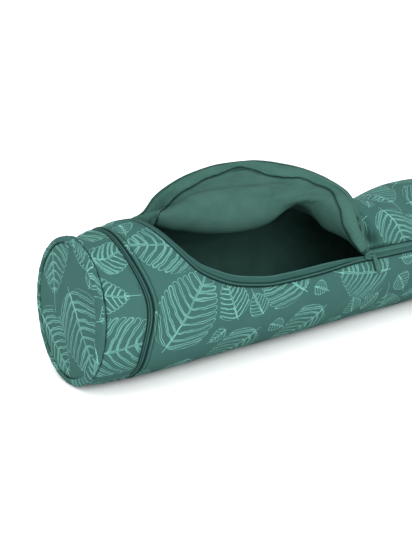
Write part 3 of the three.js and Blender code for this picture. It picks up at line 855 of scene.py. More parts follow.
# One row of the wall: front edge, underside, back, then over the flap to its seam
def wallRow(x, counts, tuck=None):
    share = (x - openingStart) / openingLength
    isOpen = 0 <= share <= 1
    if share < 0:
        first = last = frontEdge[0][1]
    elif isOpen:
        first, last = lookUp(frontEdge, 1, share), lookUp(foldLine, 1, share)
    elif x <= zipEnd:
        first, last = closedFront, closedBack
    else:
        pinch = smooth((x - zipEnd) / wallSizes["pinch"])
        first = closedFront + zipHalf * pinch
        last = closedBack - zipHalf * pinch
    distance = lookUp(foldLine, 2, share) if isOpen else 1.0
    lip = [d / (frontSlope(share) if isOpen else 1.0) for d in wallSizes["lip"]]
    start, waist, end = -arc(first), -arc(wallSizes["waist"]), -arc(last - 360)
    columns = spread(start, waist, counts[0], lip)
    columns += spread(waist, end, counts[1])[1:]
    row = []
    for v in columns:
        angle = -math.degrees(v / tubeRadius)
        row.append((tubePoint(x, angle, foldDepth(angle + 360, last, distance)), x, -v))
    if isOpen and share > wallSizes["flapFrom"]:
        points, edge, way, width = flapPath(share)
        if tuck is not None:
            points = points + [points[-1] + way * max(0.0, width - tuck)]
        length = lineLength(points)
        scale = min(1.0, length / wallSizes["fullFlap"])
        foldSteps, flapLip = ([d * scale for d in wallSizes[key]] for key in ("foldSteps", "flapLip"))
        steps = spread(0, length, counts[2], foldSteps, flapLip)[1:]
        row += [(p, x, -end - d) for p, d in zip(alongLine(points, steps), steps)]
    else:
        count = counts[2] + len(wallSizes["flapLip"]) + len(wallSizes["foldSteps"]) - 2
        row += [row[-1]] * count
    return row


# Places along the bag: close together at the zip round the pocket and where the opening turns
ringSteps = (0, 0.35, 0.8, 1.4, 2.1, 2.9, 3.6, 4.1, 4.5, 5.0, 5.7, 6.6, 7.8, 9.2, 10.8, 12.6, 14.6, 16.8)
endSteps = (2.4, 1.2, 0.5, 0)


def rowPlaces(step):
    places = [bodyStart + d for d in ringSteps]
    x = openingStart - 1
    while x < matLength - 3:
        places.append(x)
        fromTurn = abs(x - openingStart - 6) - 8
        x += step * (0.28 + 0.72 * smooth(fromTurn / 30)) if x < 70 else step
    return places + [matLength - d for d in endSteps]


# The large soft shapes that the wall and its lining share: place, angle, length, spread and rise
puckers = [
    (307, 34, 6, 11, -8.5), (301, 52, 5, 18, -6.5), (321, 44, 7, 20, 2.2), (300, -6, 12, 12, 0.9),
    (336, 26, 10, 9, -1.2), (40, 22, 14, 16, 0.8), (455, 40, 30, 30, -2.0), (560, 70, 38, 34, -1.6),
    (395, -20, 45, 22, -1.2), (210, -30, 60, 16, 0.9), (520, -8, 60, 14, 0.9),
]


def softShape(u, v):
    angle = math.degrees(v / tubeRadius)
    rise = ripple("wall", u, v)
    for x, at, length, spreadAngle, depth in puckers:
        rise += depth * bump((u - x) / length) * bump(wrap(angle - at) / spreadAngle)
    gather = math.exp(-max(0.0, u - bodyStart) / 13)
    rise += 0.9 * gather * soft(u / 30, v / 8.5, 5.0)
    return rise * min(1.0, (u - bodyStart) / 5)


# Height of a sewn edge: folded lip, stitched groove, then small puckers that fade out
def edgeRidge(d, along, line=wallSizes["stitchLine"], swell=edgeSizes["swell"]):
    lip = -edgeSizes["lipDrop"] * bump(d / 0.32) + swell * bump((d - 0.53 * line) / (0.3 * line))
    groove = -edgeSizes["groove"] * bump((d - line) / 0.6)
    pucker = 0.35 + edgeSizes["pucker"] * soft(along / edgeSizes["puckerLength"], 1.3)
    return lip + groove + pucker * bump((d - line - 2.5) / 2.4)


# Painted shadow in the crease of the wall behind the slider: its ends as place and angle, its width and the
# places it reaches
sliderCreaseShadow = {"from": (296, 60 - 360), "to": (310, 27 - 360), "width": 6.5, "start": 280, "end": 340}


# Rise of the wall and its distance to the nearest seam, row by row; the print is painted darker near these
# seams as shade in their grooves, and in the crease behind the slider as its shadow
def wallRelief(rows):
    near, line = wallSizes["nearEdge"], wallSizes["ringLine"]
    creaseFrom, creaseTo = ((u, arc(angle)) for u, angle in (sliderCreaseShadow["from"], sliderCreaseShadow["to"]))
    relief, seams = [], []
    for row in rows:
        heights, edges = [], []
        for k, (point, u, v) in enumerate(row):
            at, index, dFront = frontTree.find((u, v, 0))
            dRing, dEnd = u - bodyStart, matLength - u
            rise, seam = softShape(u, v), dFront
            if dFront < near:
                rise += edgeRidge(dFront, at[0] + at[1])
            if dRing < near + 2:
                rise += edgeRidge(dRing, v, line, 0.9)
                seam = min(seam, dRing, 1.1 * abs(dRing - line) + 0.3)
            if openingEnd <= u <= zipEnd + 2:
                at, index, dBack = backTree.find((u, v, 0))
                if dBack < near:
                    rise += edgeRidge(dBack, at[0])
                seam = min(seam, dBack)
            elif openingStart < u < openingEnd and k > 6:
                dBack = v - row[-1][2]
                if dBack < near:
                    rise += edgeRidge(dBack, u)
                seam = min(seam, max(0, dBack))
            if dEnd < 6:
                rise -= 0.8 * bump(dEnd / 1.2)
                seam = min(seam, dEnd + 0.3)
            if sliderCreaseShadow["start"] < u < sliderCreaseShadow["end"] and k > 20:
                # Painted shadow: a broad dark wedge along the crease
                deep = away((u, v), creaseFrom, creaseTo)
                seam = min(seam, 1.62 - 1.4 * bump(deep / sliderCreaseShadow["width"]))
            heights.append(rise)
            edges.append(seam)
        relief.append(heights)
        seams.append(edges)
    return relief, seams


started = time.time()
rows = [wallRow(x, wallSizes["columns"]) for x in rowPlaces(wallSizes["step"])]
relief, seams = wallRelief(rows)
mesh = sheetMesh(rows, fromAxis, relief, seams)
leaves = scatterLeaves((-20, -660), (690, 240), 5)
addLeaves(mesh, leaves)
wall = finishPiece("printed_wall", mesh, clothPrint, ["mat_wall"],
                   wallSizes["thickness"])
print("printed wall", len(wall.data.polygons), "faces", len(leaves), "leaves",
      round(time.time() - started, 1), "s")


# Place in the opening and width of the soft binding along the flap's free edge
bindingWidths = [
    (0.0, 50), (0.12, 56), (0.145, 56), (0.157, 53), (0.162, 43), (0.168, 29), (0.178, 20.5), (0.2, 16.8),
    (0.22, 15.2), (0.24, 14.2), (0.26, 14.5), (0.28, 13.8), (0.3, 12.5), (0.32, 11.5), (0.34, 12.0),
    (0.36, 10.0), (0.38, 8.0), (0.4, 7.3), (0.42, 9.0), (0.44, 12.0), (0.46, 14.8), (0.48, 17.0),
    (0.5, 17.8), (0.52, 17.3), (0.54, 17.2), (0.56, 16.2), (0.58, 15.6), (0.6, 14.2), (0.62, 13.2),
    (0.64, 13.5), (0.66, 13.6), (0.68, 14.6), (0.7, 15.0), (0.72, 14.8), (0.74, 14.6), (0.76, 14.9),
    (0.78, 16.0), (0.8, 19.0), (0.82, 22.0), (0.84, 24.3), (0.86, 24.5), (0.88, 24.0), (0.9, 24.8),
    (0.92, 24.0), (0.94, 20.5), (0.96, 15.2), (0.98, 11.0), (1.0, 8.0),
]
liningSizes = {
    "tuck": 6.0, "belly": 3.2, "columns": (24, 64, 66), "depth": 1.9, "leastDepth": 1.45, "thickness": 0.8,
    "step": 2.6,
}
# Place along the bag and distance from the band of the fold that its lining hangs in
foldBelowBand = [
    (70, 8), (94, 7), (112, 20), (133, 25), (145, 15), (165, 9), (190, 12), (212, 10), (240, 9), (262, 7),
]
# Creases of the flap's lining: both ends as place along the bag and distance from the band, width, rise
creases = [
    ((159, 23), (182, 58), 1.6, 1.3), ((164, 20), (187, 52), 3.0, -1.2), ((182, 59), (216, 63), 1.5, 1.0),
    ((149, 15), (216, 13), 5.5, -1.9), ((90, 26), (128, 62), 3.2, -1.3), ((80, 30), (122, 74), 3.0, 1.1),
    ((250, 3), (262, 10), 1.0, 1.3), ((128, 60), (160, 68), 4.0, -1.3), ((226, 12), (246, 30), 3.0, -1.0),
]


# Distance of a spot of the flap's lining from the band's sewn edge, below 0 where the band covers it
def belowBand(share, fromSeam):
    step = 0.003
    width, before, after = (lookUp(bindingWidths, 1, k) for k in (share, share - step, share + step))
    slope = (after - before) / (2 * step * openingLength)
    return (fromSeam + min(liningSizes["tuck"], tapeWidth(share)) - width) / math.hypot(1, slope)


# Rise of the lining and its distance to the band's sewn edge, row by row; the distances also paint shade in
# a crease under the band and a wider shadow below the band near 215 mm
def liningRelief(rows):
    relief, seams = [], []
    for row in rows:
        heights, edges = [], []
        for k, (point, u, v) in enumerate(row):
            shape = softShape(u, v)
            rise = shape - liningSizes["depth"]
            rise -= 0.6 * abs(soft(u / 18, v / 30, 9.0)) + 0.6 * soft(u / 40, v / 16, 2.0)
            share = (u - openingStart) / openingLength
            onFlap = belowBand(share, v - row[-1][2])
            least = liningSizes["leastDepth"] + 0.8 * smooth((u - 175) / 20) * smooth((290 - u) / 10)
            if openingStart < u < openingEnd and onFlap < 110 and k > 20:
                belly = liningSizes["belly"] * (1 - 0.75 * smooth((u - 180) / 35))
                belly *= smooth((onFlap + 1) / 6) * smooth((62 - onFlap) / 22) * smooth((u - 62) / 34)
                rise -= belly * (1 - bump((onFlap - lookUp(foldBelowBand, 1, u)) / 8))
                rise += 0.8 * bump((onFlap - 1.5) / 1.8)
                rise -= 0.7 * soft(u / 4.5, onFlap / 9, 8.0) * bump((onFlap - 5) / 4)
                for a, b, width, height in creases:
                    rise += height * bump(away((u, onFlap), a, b) / width)
                hidden = smooth((-onFlap - 1) / 2)
                rise += (shape - least - rise) * hidden
            heights.append(min(rise, shape - least))
            # Painted shade along a crease just under the band near 134 mm, and a painted shadow below the
            # band that reaches further near 215 mm
            second = abs(onFlap - 3.6 + 0.8 * bump((u - 134) / 5)) + 0.5 + ((u - 134) / 11) ** 4
            near = (max(0.0, onFlap) + 0.2) * (1 - 0.35 * bump((u - 215) / 30))
            edges.append(min(near, second) if 0 < share < 1 else farFromSeam)
        relief.append(heights)
        seams.append(edges)
    return relief, seams


started = time.time()
rows = [wallRow(x, liningSizes["columns"], liningSizes["tuck"]) for x in rowPlaces(liningSizes["step"])]
relief, seams = liningRelief(rows)
mesh = sheetMesh(rows, fromAxis, relief, seams)
lining = finishPiece("lining", mesh, liningCloth, ["mat_lining"],
                     liningSizes["thickness"])
print("lining", len(lining.data.polygons), "faces", round(time.time() - started, 1), "s")


# End pocket: its wall, the round panel and the ridge of the seam between them
pocketSizes = {
    "columns": 168, "seamAngle": -90, "stitchLine": 2.1,
    "weltRadius": 2.3, "weltSteps": 240, "weltCorners": 16,
    "pieceGap": 0.3, "panelRings": 40, "panelSpokes": 192, "panelSwell": 2.6, "thickness": 1.3,
}
pocketEnd = -5.6
capSteps = (0, 0.3, 0.7, 1.3, 2.1, 3.1)
lipSteps = (4.0, 3.2, 2.5, 1.9, 1.3, 0.7, 0.3, 0)


def ringAngles(count, start):
    return [start - 360 * k / count for k in range(count + 1)]


def pocketShape(u, v):
    share = -u / pocketLength
    rise = ripple("pocket", u, v)
    rise += 0.7 * bump((share - 0.2) / 0.14) * soft(u / 40, v / 7.5, 16.0)
    rise += 0.8 * bump((share - 0.95) / 0.16) * soft(u / 40, v / 9.0, 18.0)
    return rise * min(1.0, (pocketEnd - u) / 4, (u + pocketLength) / 4 + 0.25)


places = [-pocketLength + d for d in capSteps]
x = -pocketLength + 4.3
while x < pocketEnd - 4.4:
    places.append(x)
    x += 1.5
places += [pocketEnd - d for d in lipSteps]
angles = ringAngles(pocketSizes["columns"], pocketSizes["seamAngle"])
rows, relief, seams = [], [], []
for u in places:
    rows.append([(tubePoint(u, angle), u, arc(angle)) for angle in angles])
    heights, edges = [], []
    for angle in angles:
        v, dRing, dCap = arc(angle), pocketEnd - u, u + pocketLength
        closed = arc(angles[0]) if angle == angles[-1] else v
        lip = edgeRidge(dRing, closed, pocketSizes["stitchLine"], 0.35)
        heights.append(pocketShape(u, closed) + lip - 1.3 * bump(dCap / 1.4))
        # Distances to the ring zip and the cap seam, where the print is painted darker as shade
        edges.append(min(dRing, dCap + 0.1))
    relief.append(heights)
    seams.append(edges)
mesh = sheetMesh(rows, fromAxis, relief, seams)
addLeaves(mesh, scatterLeaves((-90, -680), (50, -90), 11))
finishPiece("pocket_cloth", mesh, clothPrint, ["pocket_wall"], pocketSizes["thickness"])


# How far the ridge of the end seam folds over the panel
def foldReach(angle):
    return 1 + 3.4 * bump(wrap(angle - 8) / 44) + 0.7 * bump(wrap(angle + 75) / 25)


# Ridge of the end seam: cloth rolled over a cord, with small puckers
def addWelt(name, x, way, seed):
    radius, count, corners = (pocketSizes[key] for key in ("weltRadius", "weltSteps", "weltCorners"))
    rows, relief = [], []
    for k in range(count + 1):
        angle = -90 - 360 * (k % count) / count
        a = math.radians(angle)
        centre = tubePoint(x, angle, 1.0, radius)
        centre.x += way * (radius + pocketSizes["pieceGap"])
        out = Vector((0, -math.cos(a), math.sin(a)))
        row, heights = [], []
        for j in range(corners + 1):
            b = 2 * math.pi * j / corners
            side = math.cos(b) * (1.0 if math.cos(b) > 0 else foldReach(angle))
            lift = math.sin(b) + way * 0.9 * max(0, -math.cos(b)) * min(1, foldReach(angle) - 1)
            row.append((centre + (out * side + Vector((1, 0, 0)) * lift) * radius,
                        x + way * radius * b, arc(-90 - 360 * k / count)))
            swell = ripple("welt", arc(angle), b, seed)
            heights.append(swell if j % corners else 0.3 * soft(arc(angle) / 9, 0, seed))
        rows.append(row)
        relief.append(heights)
    mesh = sheetMesh(rows, None, relief)
    addLeaves(mesh, scatterLeaves((x - 40, -680), (x + 40, -90), seed + 2))
    finishPiece("welt_" + name, mesh, clothPrint, ["end_welt_" + name])


# Round end panel inside its seam, slightly swollen, with one long crescent fold
def addPanel(name, x, way, seed):
    radius, gap, rings, spokes = (
        pocketSizes[key] for key in ("weltRadius", "pieceGap", "panelRings", "panelSpokes"))
    rows, relief, seams = [], [], []
    for i in range(rings + 1):
        share = 1 - (1 - i / rings) ** 1.35
        row, heights, edges = [], [], []
        for k in range(spokes + 1):
            angle = way * 360 * (k % spokes) / spokes
            edge = tubePoint(x, angle, 1.0, 2 * radius + gap)
            fold = bump((share - 0.8) / 0.05) * bump(wrap(angle - 5) / 55)
            depth = 3.2 + pocketSizes["panelSwell"] * (1 - share * share) - 1.2 * fold
            at = Vector((x + way * depth + (edge.x - x) * share, edge.y * share, edge.z * share))
            row.append((at, way * at.y, at.z))
            rise = ripple("panel", at.y, at.z, seed)
            rise += 0.6 * bump((share - 0.93) / 0.06) * soft(arc(angle) / 7, 2.0, seed + 5)
            heights.append((rise - 1.5 * bump((1 - share) / 0.02)) * (1 if i else 0.9))
            # Painted shade: the print darkens towards the panel's rim, beside the welt
            edges.append((1 - share) * tubeRadius * 0.8 + 0.1)
        rows.append(row)
        relief.append(heights)
        seams.append(edges)
    mesh = sheetMesh(rows, lambda point: Vector((way, 0, 0)), relief, seams)
    addLeaves(mesh, scatterLeaves((-110, -110), (110, 110), seed))
    finishPiece("panel_" + name, mesh, clothPrint, ["end_panel_" + name],
                pocketSizes["thickness"])


bagEnds = (("left", -pocketLength, -1, 21, 34), ("right", matLength, 1, 25, 47))
for name, x, way, weltSeed, panelSeed in bagEnds:
    addWelt(name, x, way, weltSeed)
    addPanel(name, x, way, panelSeed)
print("end pocket and end panels made")


# Zip tapes: one closed cross-section carried along each edge. a runs from the seam to the free edge,
# b is the height above the cloth's outer side, and the third number is the distance to a dark edge: small
# values paint shade into the seams and grooves, values from 2 to 6 give the tapes a painted highlight on
# their ridges.
tapeSizes = {"step": 1.6, "flapStart": 0.088, "closedStep": 2.4, "innerSide": 20.0}


def stripPiece(name, stations, profile, nodes, material=tapeCloth):
    rows, seams = [], []
    for place, width, u in stations:
        section = profile(width)
        section = section + section[:1]
        row = []
        for k, (a, b, dark) in enumerate(section):
            row.append((place(a, b), u, a + tapeSizes["innerSide"] * (k > len(section) / 2)))
        rows.append(row)
        seams.append([dark for a, b, dark in section])
    mesh = sheetMesh(rows, None, None, seams)
    bmesh.ops.holes_fill(mesh, edges=mesh.edges, sides=60)
    bmesh.ops.recalc_face_normals(mesh, faces=mesh.faces)
    return finishPiece(name, mesh, material, nodes)


# Folded cloth edge, which becomes a raised piping where the zip is open, then the tape beyond it
def frontProfile(width):
    fold, full, far = 3.9, 7.1, farFromSeam
    k = (width - fold) / full
    piped = smooth((k - 0.35) / 0.3)
    # Painted shade in the groove beside the piping deepens as the piping rises
    high, low, dark = 0.2 + 0.9 * piped, -0.2 - 0.7 * piped, 1.6 - 1.45 * piped
    edge = [(0.3, -1.5, far), (0.35, -0.6, 0.1), (1.0, 0.0, 0.15), (1.4, 0.6 * high, 1.6), (2.0, high, 3),
            (2.7, 0.8 * high, 3), (3.1, 0.1, max(1.2, dark)), (3.3, 0.6 * low, dark), (fold, low, dark)]
    tape = [(0.6, 0.8 * low, dark + 0.3), (1.4, -0.25, 1.7), (2.9, -0.15, 1.9), (4.3, -0.25, 1.9),
            (4.9, -0.4, 1.6), (5.5, -0.1, 1.9), (6.2, 0.05, 4), (6.9, -0.35, 3)]
    rim = [(width, -0.95, 1.2), (width - 0.3 * k, -1.6, far)]
    under = [(5, -1.75, far), (2, -1.7, far)]
    tape, under = ([(fold + a * k, b, d) for a, b, d in part] for part in (tape, under))
    return edge + tape + rim + under + [(2.4, -1.7, far)]


def flapProfile(width):
    seam, full = 2.6, 10.4
    k = (width - seam) / full
    upper = [(3.0, -0.35, 4), (7.5, -0.4, 4), (9.6, -0.6, 3)]
    lower = [(10.0, -1.9, 1.2), (9.0, -2.3, 3), (7.6, -2.2, 2), (5.4, -1.9, 2)]
    upper, lower = ([(seam + a * k, b, d) for a, b, d in part] for part in (upper, lower))
    start = [(0.3, -1.3, farFromSeam), (0.4, -0.6, 0.1), (1.2 * k + 0.5, -0.25, 2)]
    return start + upper + [(width, -1.2, 2)] + lower + [(2.2 * k + 0.4, -1.8, 2), (0.1, -1.8, 0.1)]


# Half of the closed zip, and the front tape's width, which narrows to it at the slider
closedHalf = bagSizes["zipWidth"] / 2 - 0.15


def frontWidth(share):
    wide = bagSizes["frontTapeWidth"] * (0.62 + 0.38 * smooth((share - 0.02) / 0.2))
    return wide + (closedHalf - wide) * smooth((share - 0.72) / 0.28)


def frontStation(share):
    at, across = acrossEdge(share)

    def place(a, b):
        spot = at + across * a
        return onTube(spot.x, spot.y, b + softShape(at.x, at.y))

    return place, frontWidth(share), at.x + at.y


def closedStation(x, edgeAngle, way, width):
    lift = softShape(x, arc(edgeAngle))

    def place(a, b):
        return onTube(x, arc(edgeAngle) + way * a, b + lift * bump(a / 6))

    return place, width, x


# Seam of the flap's tape, the way across it and its normal
def flapSeam(share, step):
    points, edge, way, width = flapPath(share)
    before, after = flapPath(max(0.03, share - step)), flapPath(min(1.0, share + step))
    along = (after[0][-1] - before[0][-1]).normalized()
    return points[-1], way, along, way.cross(along).normalized(), width


def flapStation(share, turn):
    seam, way, along, normal, width = flapSeam(share, 0.01)
    shift = softShape(flapX(share), turn) + 0.35 * soft(share * 34, 6.0)

    def place(a, b):
        return seam + way * a + normal * (b + shift)

    return place, max(width, 0.8), flapX(share)


# Shares of the opening whose spots are an even step apart
def evenShares(start, end, spotAt, step):
    shares, last = [start], spotAt(start)
    k = start
    while k < end:
        k += 0.0008
        spot = spotAt(min(k, end))
        if (spot - last).length >= step:
            shares.append(min(k, end))
            last = spot
    return shares + [end]


def frontSpot(share):
    return Vector((*edgeSpot(share), 0))


closedCount = int((zipEnd - openingEnd - 2) / tapeSizes["closedStep"])
closedPlaces = [openingEnd + 1.2 + k * tapeSizes["closedStep"] for k in range(closedCount)]
stations = [frontStation(share) for share in evenShares(0.011, 1.0, frontSpot, tapeSizes["step"])]
stations += [closedStation(x, closedFront, 1, closedHalf) for x in closedPlaces]
stripPiece("front_tape", stations, frontProfile, ["main_zip_tape_front"])

flapShares = evenShares(tapeSizes["flapStart"], 1.0, flapEdgePoint, tapeSizes["step"])
stations = [flapStation(share, arc(lookUp(foldLine, 1, share) - 360)) for share in flapShares]
stations += [closedStation(x, closedBack, -1, closedHalf) for x in closedPlaces]
stripPiece("flap_tape", stations, flapProfile, ["main_zip_tape_flap"])


# Soft binding over the inner side of the flap's tape, with a wavy sewn edge and painted shade along it
bindingSizes = {"wave": 0.7, "step": 1.3, "start": 0.03, "end": 0.98, "wayStep": 0.006, "rootEnd": 0.21}


# Line from the flap's free edge back over its lining and round the fold, and where the fold starts on it
def bandPath(share):
    points, edge, way, width = flapPath(share)
    last, distance = lookUp(foldLine, 1, share), lookUp(foldLine, 2, share)
    angles = [last + k for k in range(2, 30, 2)]
    inside = [tubePoint(flapX(share), angle, foldDepth(angle, last, distance)) for angle in angles]
    return [edge] + points[::-1] + inside, lineLength(points) + width


def bindingStation(share):
    here, foldAt = bandPath(share)
    before, foldBefore = bandPath(max(0.0, share - bindingSizes["wayStep"]))
    after, foldAfter = bandPath(min(1.0, share + bindingSizes["wayStep"]))
    u = flapX(share)
    closing = smooth((0.99 - share) / 0.14)
    width = min(lookUp(bindingWidths, 1, share), lineLength(here) - 3)
    along = flapEdgePoint(share)
    s = along.x + along.z
    wave = bindingSizes["wave"] * (soft(s / 15, 2.0) + 0.7 * soft(s / 6.5, 5.0)) * closing
    atRoot = smooth((bindingSizes["rootEnd"] - share) / 0.05)
    reach = 0.6 + 2.4 * atRoot
    foldV = arc(lookUp(foldLine, 1, share) - 360)

    def place(a, b):
        back = width - a - wave * bump(a / 5)
        near, point, far = (alongLine(here, [d])[0] for d in (back - reach, back, back + reach))
        side = alongLine(after, [back + atRoot * (foldAfter - foldAt)])[0]
        side -= alongLine(before, [back + atRoot * (foldBefore - foldAt)])[0]
        normal = (near - far).cross(side).normalized()
        lift = ripple("band", s, a)
        lift *= (0.3 + 0.7 * bump((a - 4) / 6)) * (1 - atRoot)
        loose, close = 0.4 * softShape(u, 0), softShape(u, foldV - foldAt + back)
        return point + normal * (b + loose + (close - loose) * atRoot - lift)

    return place, (width, smooth((share - 0.74) / 0.08)), s


# split is how far the band shows as two strips, towards the slider, with painted shade in the groove between
# them
def bindingProfile(size):
    width, split = size
    k, far = (width - 2) / 11.4, farFromSeam
    hem = min(k, 1.2)
    top = [(2.6, -4.25, 4), (3.2, -4.2, 4), (3.8, -4.15, 4), (4.4, -4.05, 4), (5.0, -4.0, 4),
           (5.6, -3.9, 4), (6.2, -3.8, 4), (6.8, -3.8, 4), (7.2, -3.8, 4 - 2.6 * split),
           (7.5, -3.7 + 0.8 * split, 4 - 3.2 * split), (7.9, -3.6 + 0.3 * split, 4), (8.5, -3.5, 4),
           (9.1, -3.4, 4), (9.7, -3.2, 4), (10.2, -3.0, 3)]
    under = [(9, -2.0, far), (7.5, -2.0, far), (6, -2.2, far), (4.5, -2.4, far), (3, -2.4, far),
             (1.5, -2.4, far)]
    top, under = ([(a * k, b, d) for a, b, d in part] for part in (top, under))
    edge = [(0.0, -2.3, 0.2), (0.1, -3.0, 0.3), (0.5, -3.7, 0.7), (1.0, -4.15, 2), (1.1 + 0.8 * k, -4.3, 4)]
    sewn = [(width - 1.9 * hem, -2.6, 1.3), (width - 1.6 * hem, -2.0, 0.5), (width - 2.6 * hem, -1.6, far)]
    return edge + top + sewn + under


shares = evenShares(bindingSizes["start"], bindingSizes["end"], flapEdgePoint, bindingSizes["step"])
stripPiece("flap_binding", [bindingStation(share) for share in shares], bindingProfile, [],
           bindingCloth)


# Tape of the zip round the bag: narrow cloth edge, then the tape up to the coil, with painted shade in the
# grooves at its edges and a painted highlight on its rib
def ringProfile(width):
    edge, far = (1.2 if width > 3 else 0.45), farFromSeam
    return [(-1.6, -1.9, far), (-1.4, -1.5, 0.1), (0.1, -1.4, 0.1), (0.6 * edge, -1.3, 0.1),
            (edge, -0.8, 0.2), (edge + 0.4, -0.2, 0.7), (edge + 0.75, 0.1, 3), (width - 0.65, 0.05, 3),
            (width - 0.35, -0.3, 0.6), (width, -1.0, 0.1), (width - 0.1, -1.9, far), (0.8, -2.1, far)]


def ringStation(angle, way, edge, width):
    v = arc(angle)

    def place(a, b):
        return onTube(edge - way * (a + 0.15), v, b + 0.25 * soft(v / 9, way * 3.0))

    return place, width, v


for name, way, edge, width in (("right", 1, bodyStart, 3.6), ("left", -1, pocketEnd, 2.3)):
    stations = [ringStation(-90 - 1.2 * k, way, edge, width) for k in range(300)]
    stations.append(stations[0])
    stripPiece("ring_tape_" + name, stations, ringProfile, ["pocket_zip_tape_" + name])
print("zip tapes made")


# Small repeated shapes: stitches and zip teeth, each a bead stretched along one way. A bead's size is its
# length, width and height.
beadSizes = {
    "stitchPitch": 3.4, "stitch": (2.5, 0.5, 0.5), "toothPitch": 1.5, "tooth": (2.6, 0.8, 1.0),
    "coilPitch": 0.95, "coilCount": 334, "ringCount": 520, "coilTooth": (1.6, 0.7, 0.9), "coilDepth": 1.1,
}
oneBead = bpy.data.meshes.new("bead")
beadMesh = bmesh.new()
bmesh.ops.create_uvsphere(beadMesh, u_segments=6, v_segments=4, radius=1)
beadMesh.to_mesh(oneBead)
beadMesh.free()
beadCorners = len(oneBead.vertices)


def beadPiece(name, beads, material, nodes=()):
    mesh = bmesh.new()
    for bead in beads:
        mesh.from_mesh(oneBead)
    mesh.verts.ensure_lookup_table()
    for k, (centre, along, normal, (length, width, height)) in enumerate(beads):
        side = normal.cross(along).normalized()
        up = along.cross(side).normalized()
        turn = Matrix((side * width / 2, up * height / 2, along.normalized() * length / 2)).transposed()
        floorHeight = -bagSizes["axisHeight"] + height / 2
        centre = Vector((centre.x, centre.y, max(centre.z, floorHeight)))
        for vert in mesh.verts[k * beadCorners:(k + 1) * beadCorners]:
            vert.co = centre + turn @ vert.co
    bmesh.ops.scale(mesh, verts=mesh.verts, vec=(mm, mm, mm))
    bmesh.ops.translate(mesh, verts=mesh.verts, vec=bagSizes["origin"] * mm)
    bmesh.ops.recalc_face_normals(mesh, faces=mesh.faces)
    return finishPiece(name, mesh, material, nodes)


# Stitches an even pitch apart along a line of cloth coordinates on the tube
def stitchRow(spots, lift):
    pitch = beadSizes["stitchPitch"]
    beads, reached, walked = [], pitch / 2, 0.0
    for a, b in zip(spots, spots[1:]):
        step = math.hypot(b[0] - a[0], b[1] - a[1])
        while walked + step >= reached:
            t = (reached - walked) / step
            u, v = a[0] + (b[0] - a[0]) * t, a[1] + (b[1] - a[1]) * t
            du, dv = (b[0] - a[0]) / step, (b[1] - a[1]) / step
            along = onTube(u + du, v + dv) - onTube(u - du, v - dv)
            beads.append((onTube(u, v, softShape(u, v) + lift), along.normalized(), tubeNormal(u, v),
                          beadSizes["stitch"]))
            reached += pitch
        walked += step
    return beads


def besideEdge(share, inset):
    at, across = acrossEdge(share)
    return tuple(at - across * inset)


line, ringAngle = wallSizes["stitchLine"], 2.0
closedSpots = [openingEnd + 2 + 3 * k for k in range(108)]
stitches = stitchRow([besideEdge(k / 300, line) for k in range(3, 300)], -0.3)
for v in (arc(closedFront) - line, arc(closedBack) + line):
    stitches += stitchRow([(u, v) for u in closedSpots], -0.3)
for u in (bodyStart + wallSizes["ringLine"], pocketEnd - pocketSizes["stitchLine"]):
    stitches += stitchRow([(u, arc(k * ringAngle)) for k in range(181)], -0.35)
for share in flapShares[12:-6]:
    seam, way, along, normal, width = flapSeam(share, 0.004)
    if int(share * 10000) % 2 == 0:
        centre = seam - way * line + normal * (softShape(flapX(share), 0) - 0.2)
        stitches.append((centre, along, normal, beadSizes["stitch"]))
beadPiece("stitches", stitches, coilLook)


# Teeth along the free edge of an opened tape
def openTeeth(start, spotAt, stationAt, depth):
    beads = []
    for share in evenShares(start, 0.985, spotAt, beadSizes["toothPitch"]):
        place, width, u = stationAt(share)
        along = place(width - 1, -2) - place(width - 3, -2)
        normal = place(width - 2, 0) - place(width - 2, -1)
        beads.append((place(width - 1.1, -depth), along.normalized(), normal, beadSizes["tooth"]))
    return beads


teeth = openTeeth(0.12, flapEdgePoint, lambda share: flapStation(share, 0), 2.3)
teeth += openTeeth(0.02, frontSpot, frontStation, 1.9)
beadPiece("open_teeth", teeth, coilLook)


ringCentre = bodyStart - 3.75


# Teeth leaning one way and the other across a closed zip
def coilPiece(name, spots, alongRing, node):
    beads = []
    for k, (u, v) in enumerate(spots):
        lean = 0.5 if k % 2 else -0.5
        du, dv = (1, lean) if alongRing else (lean, 1)
        across = onTube(u + du, v + dv) - onTube(u - du, v - dv)
        centre = onTube(u, v, -beadSizes["coilDepth"])
        beads.append((centre, across.normalized(), tubeNormal(u, v), beadSizes["coilTooth"]))
    beadPiece(name, beads, coilLook, [node])


coilPitch, coilCount, ringCount = (beadSizes[key] for key in ("coilPitch", "coilCount", "ringCount"))
mainSpots = [(openingEnd + 9 + coilPitch * k, arc(zipCentre)) for k in range(coilCount)]
ringSpots = [(ringCentre, arc(360 * k / ringCount)) for k in range(ringCount)]
coilPiece("main_coil", mainSpots, False, "main_zip_coil")
coilPiece("ring_coil", ringSpots, True, "pocket_zip_coil")
print("stitches", len(stitches), "teeth", len(teeth))


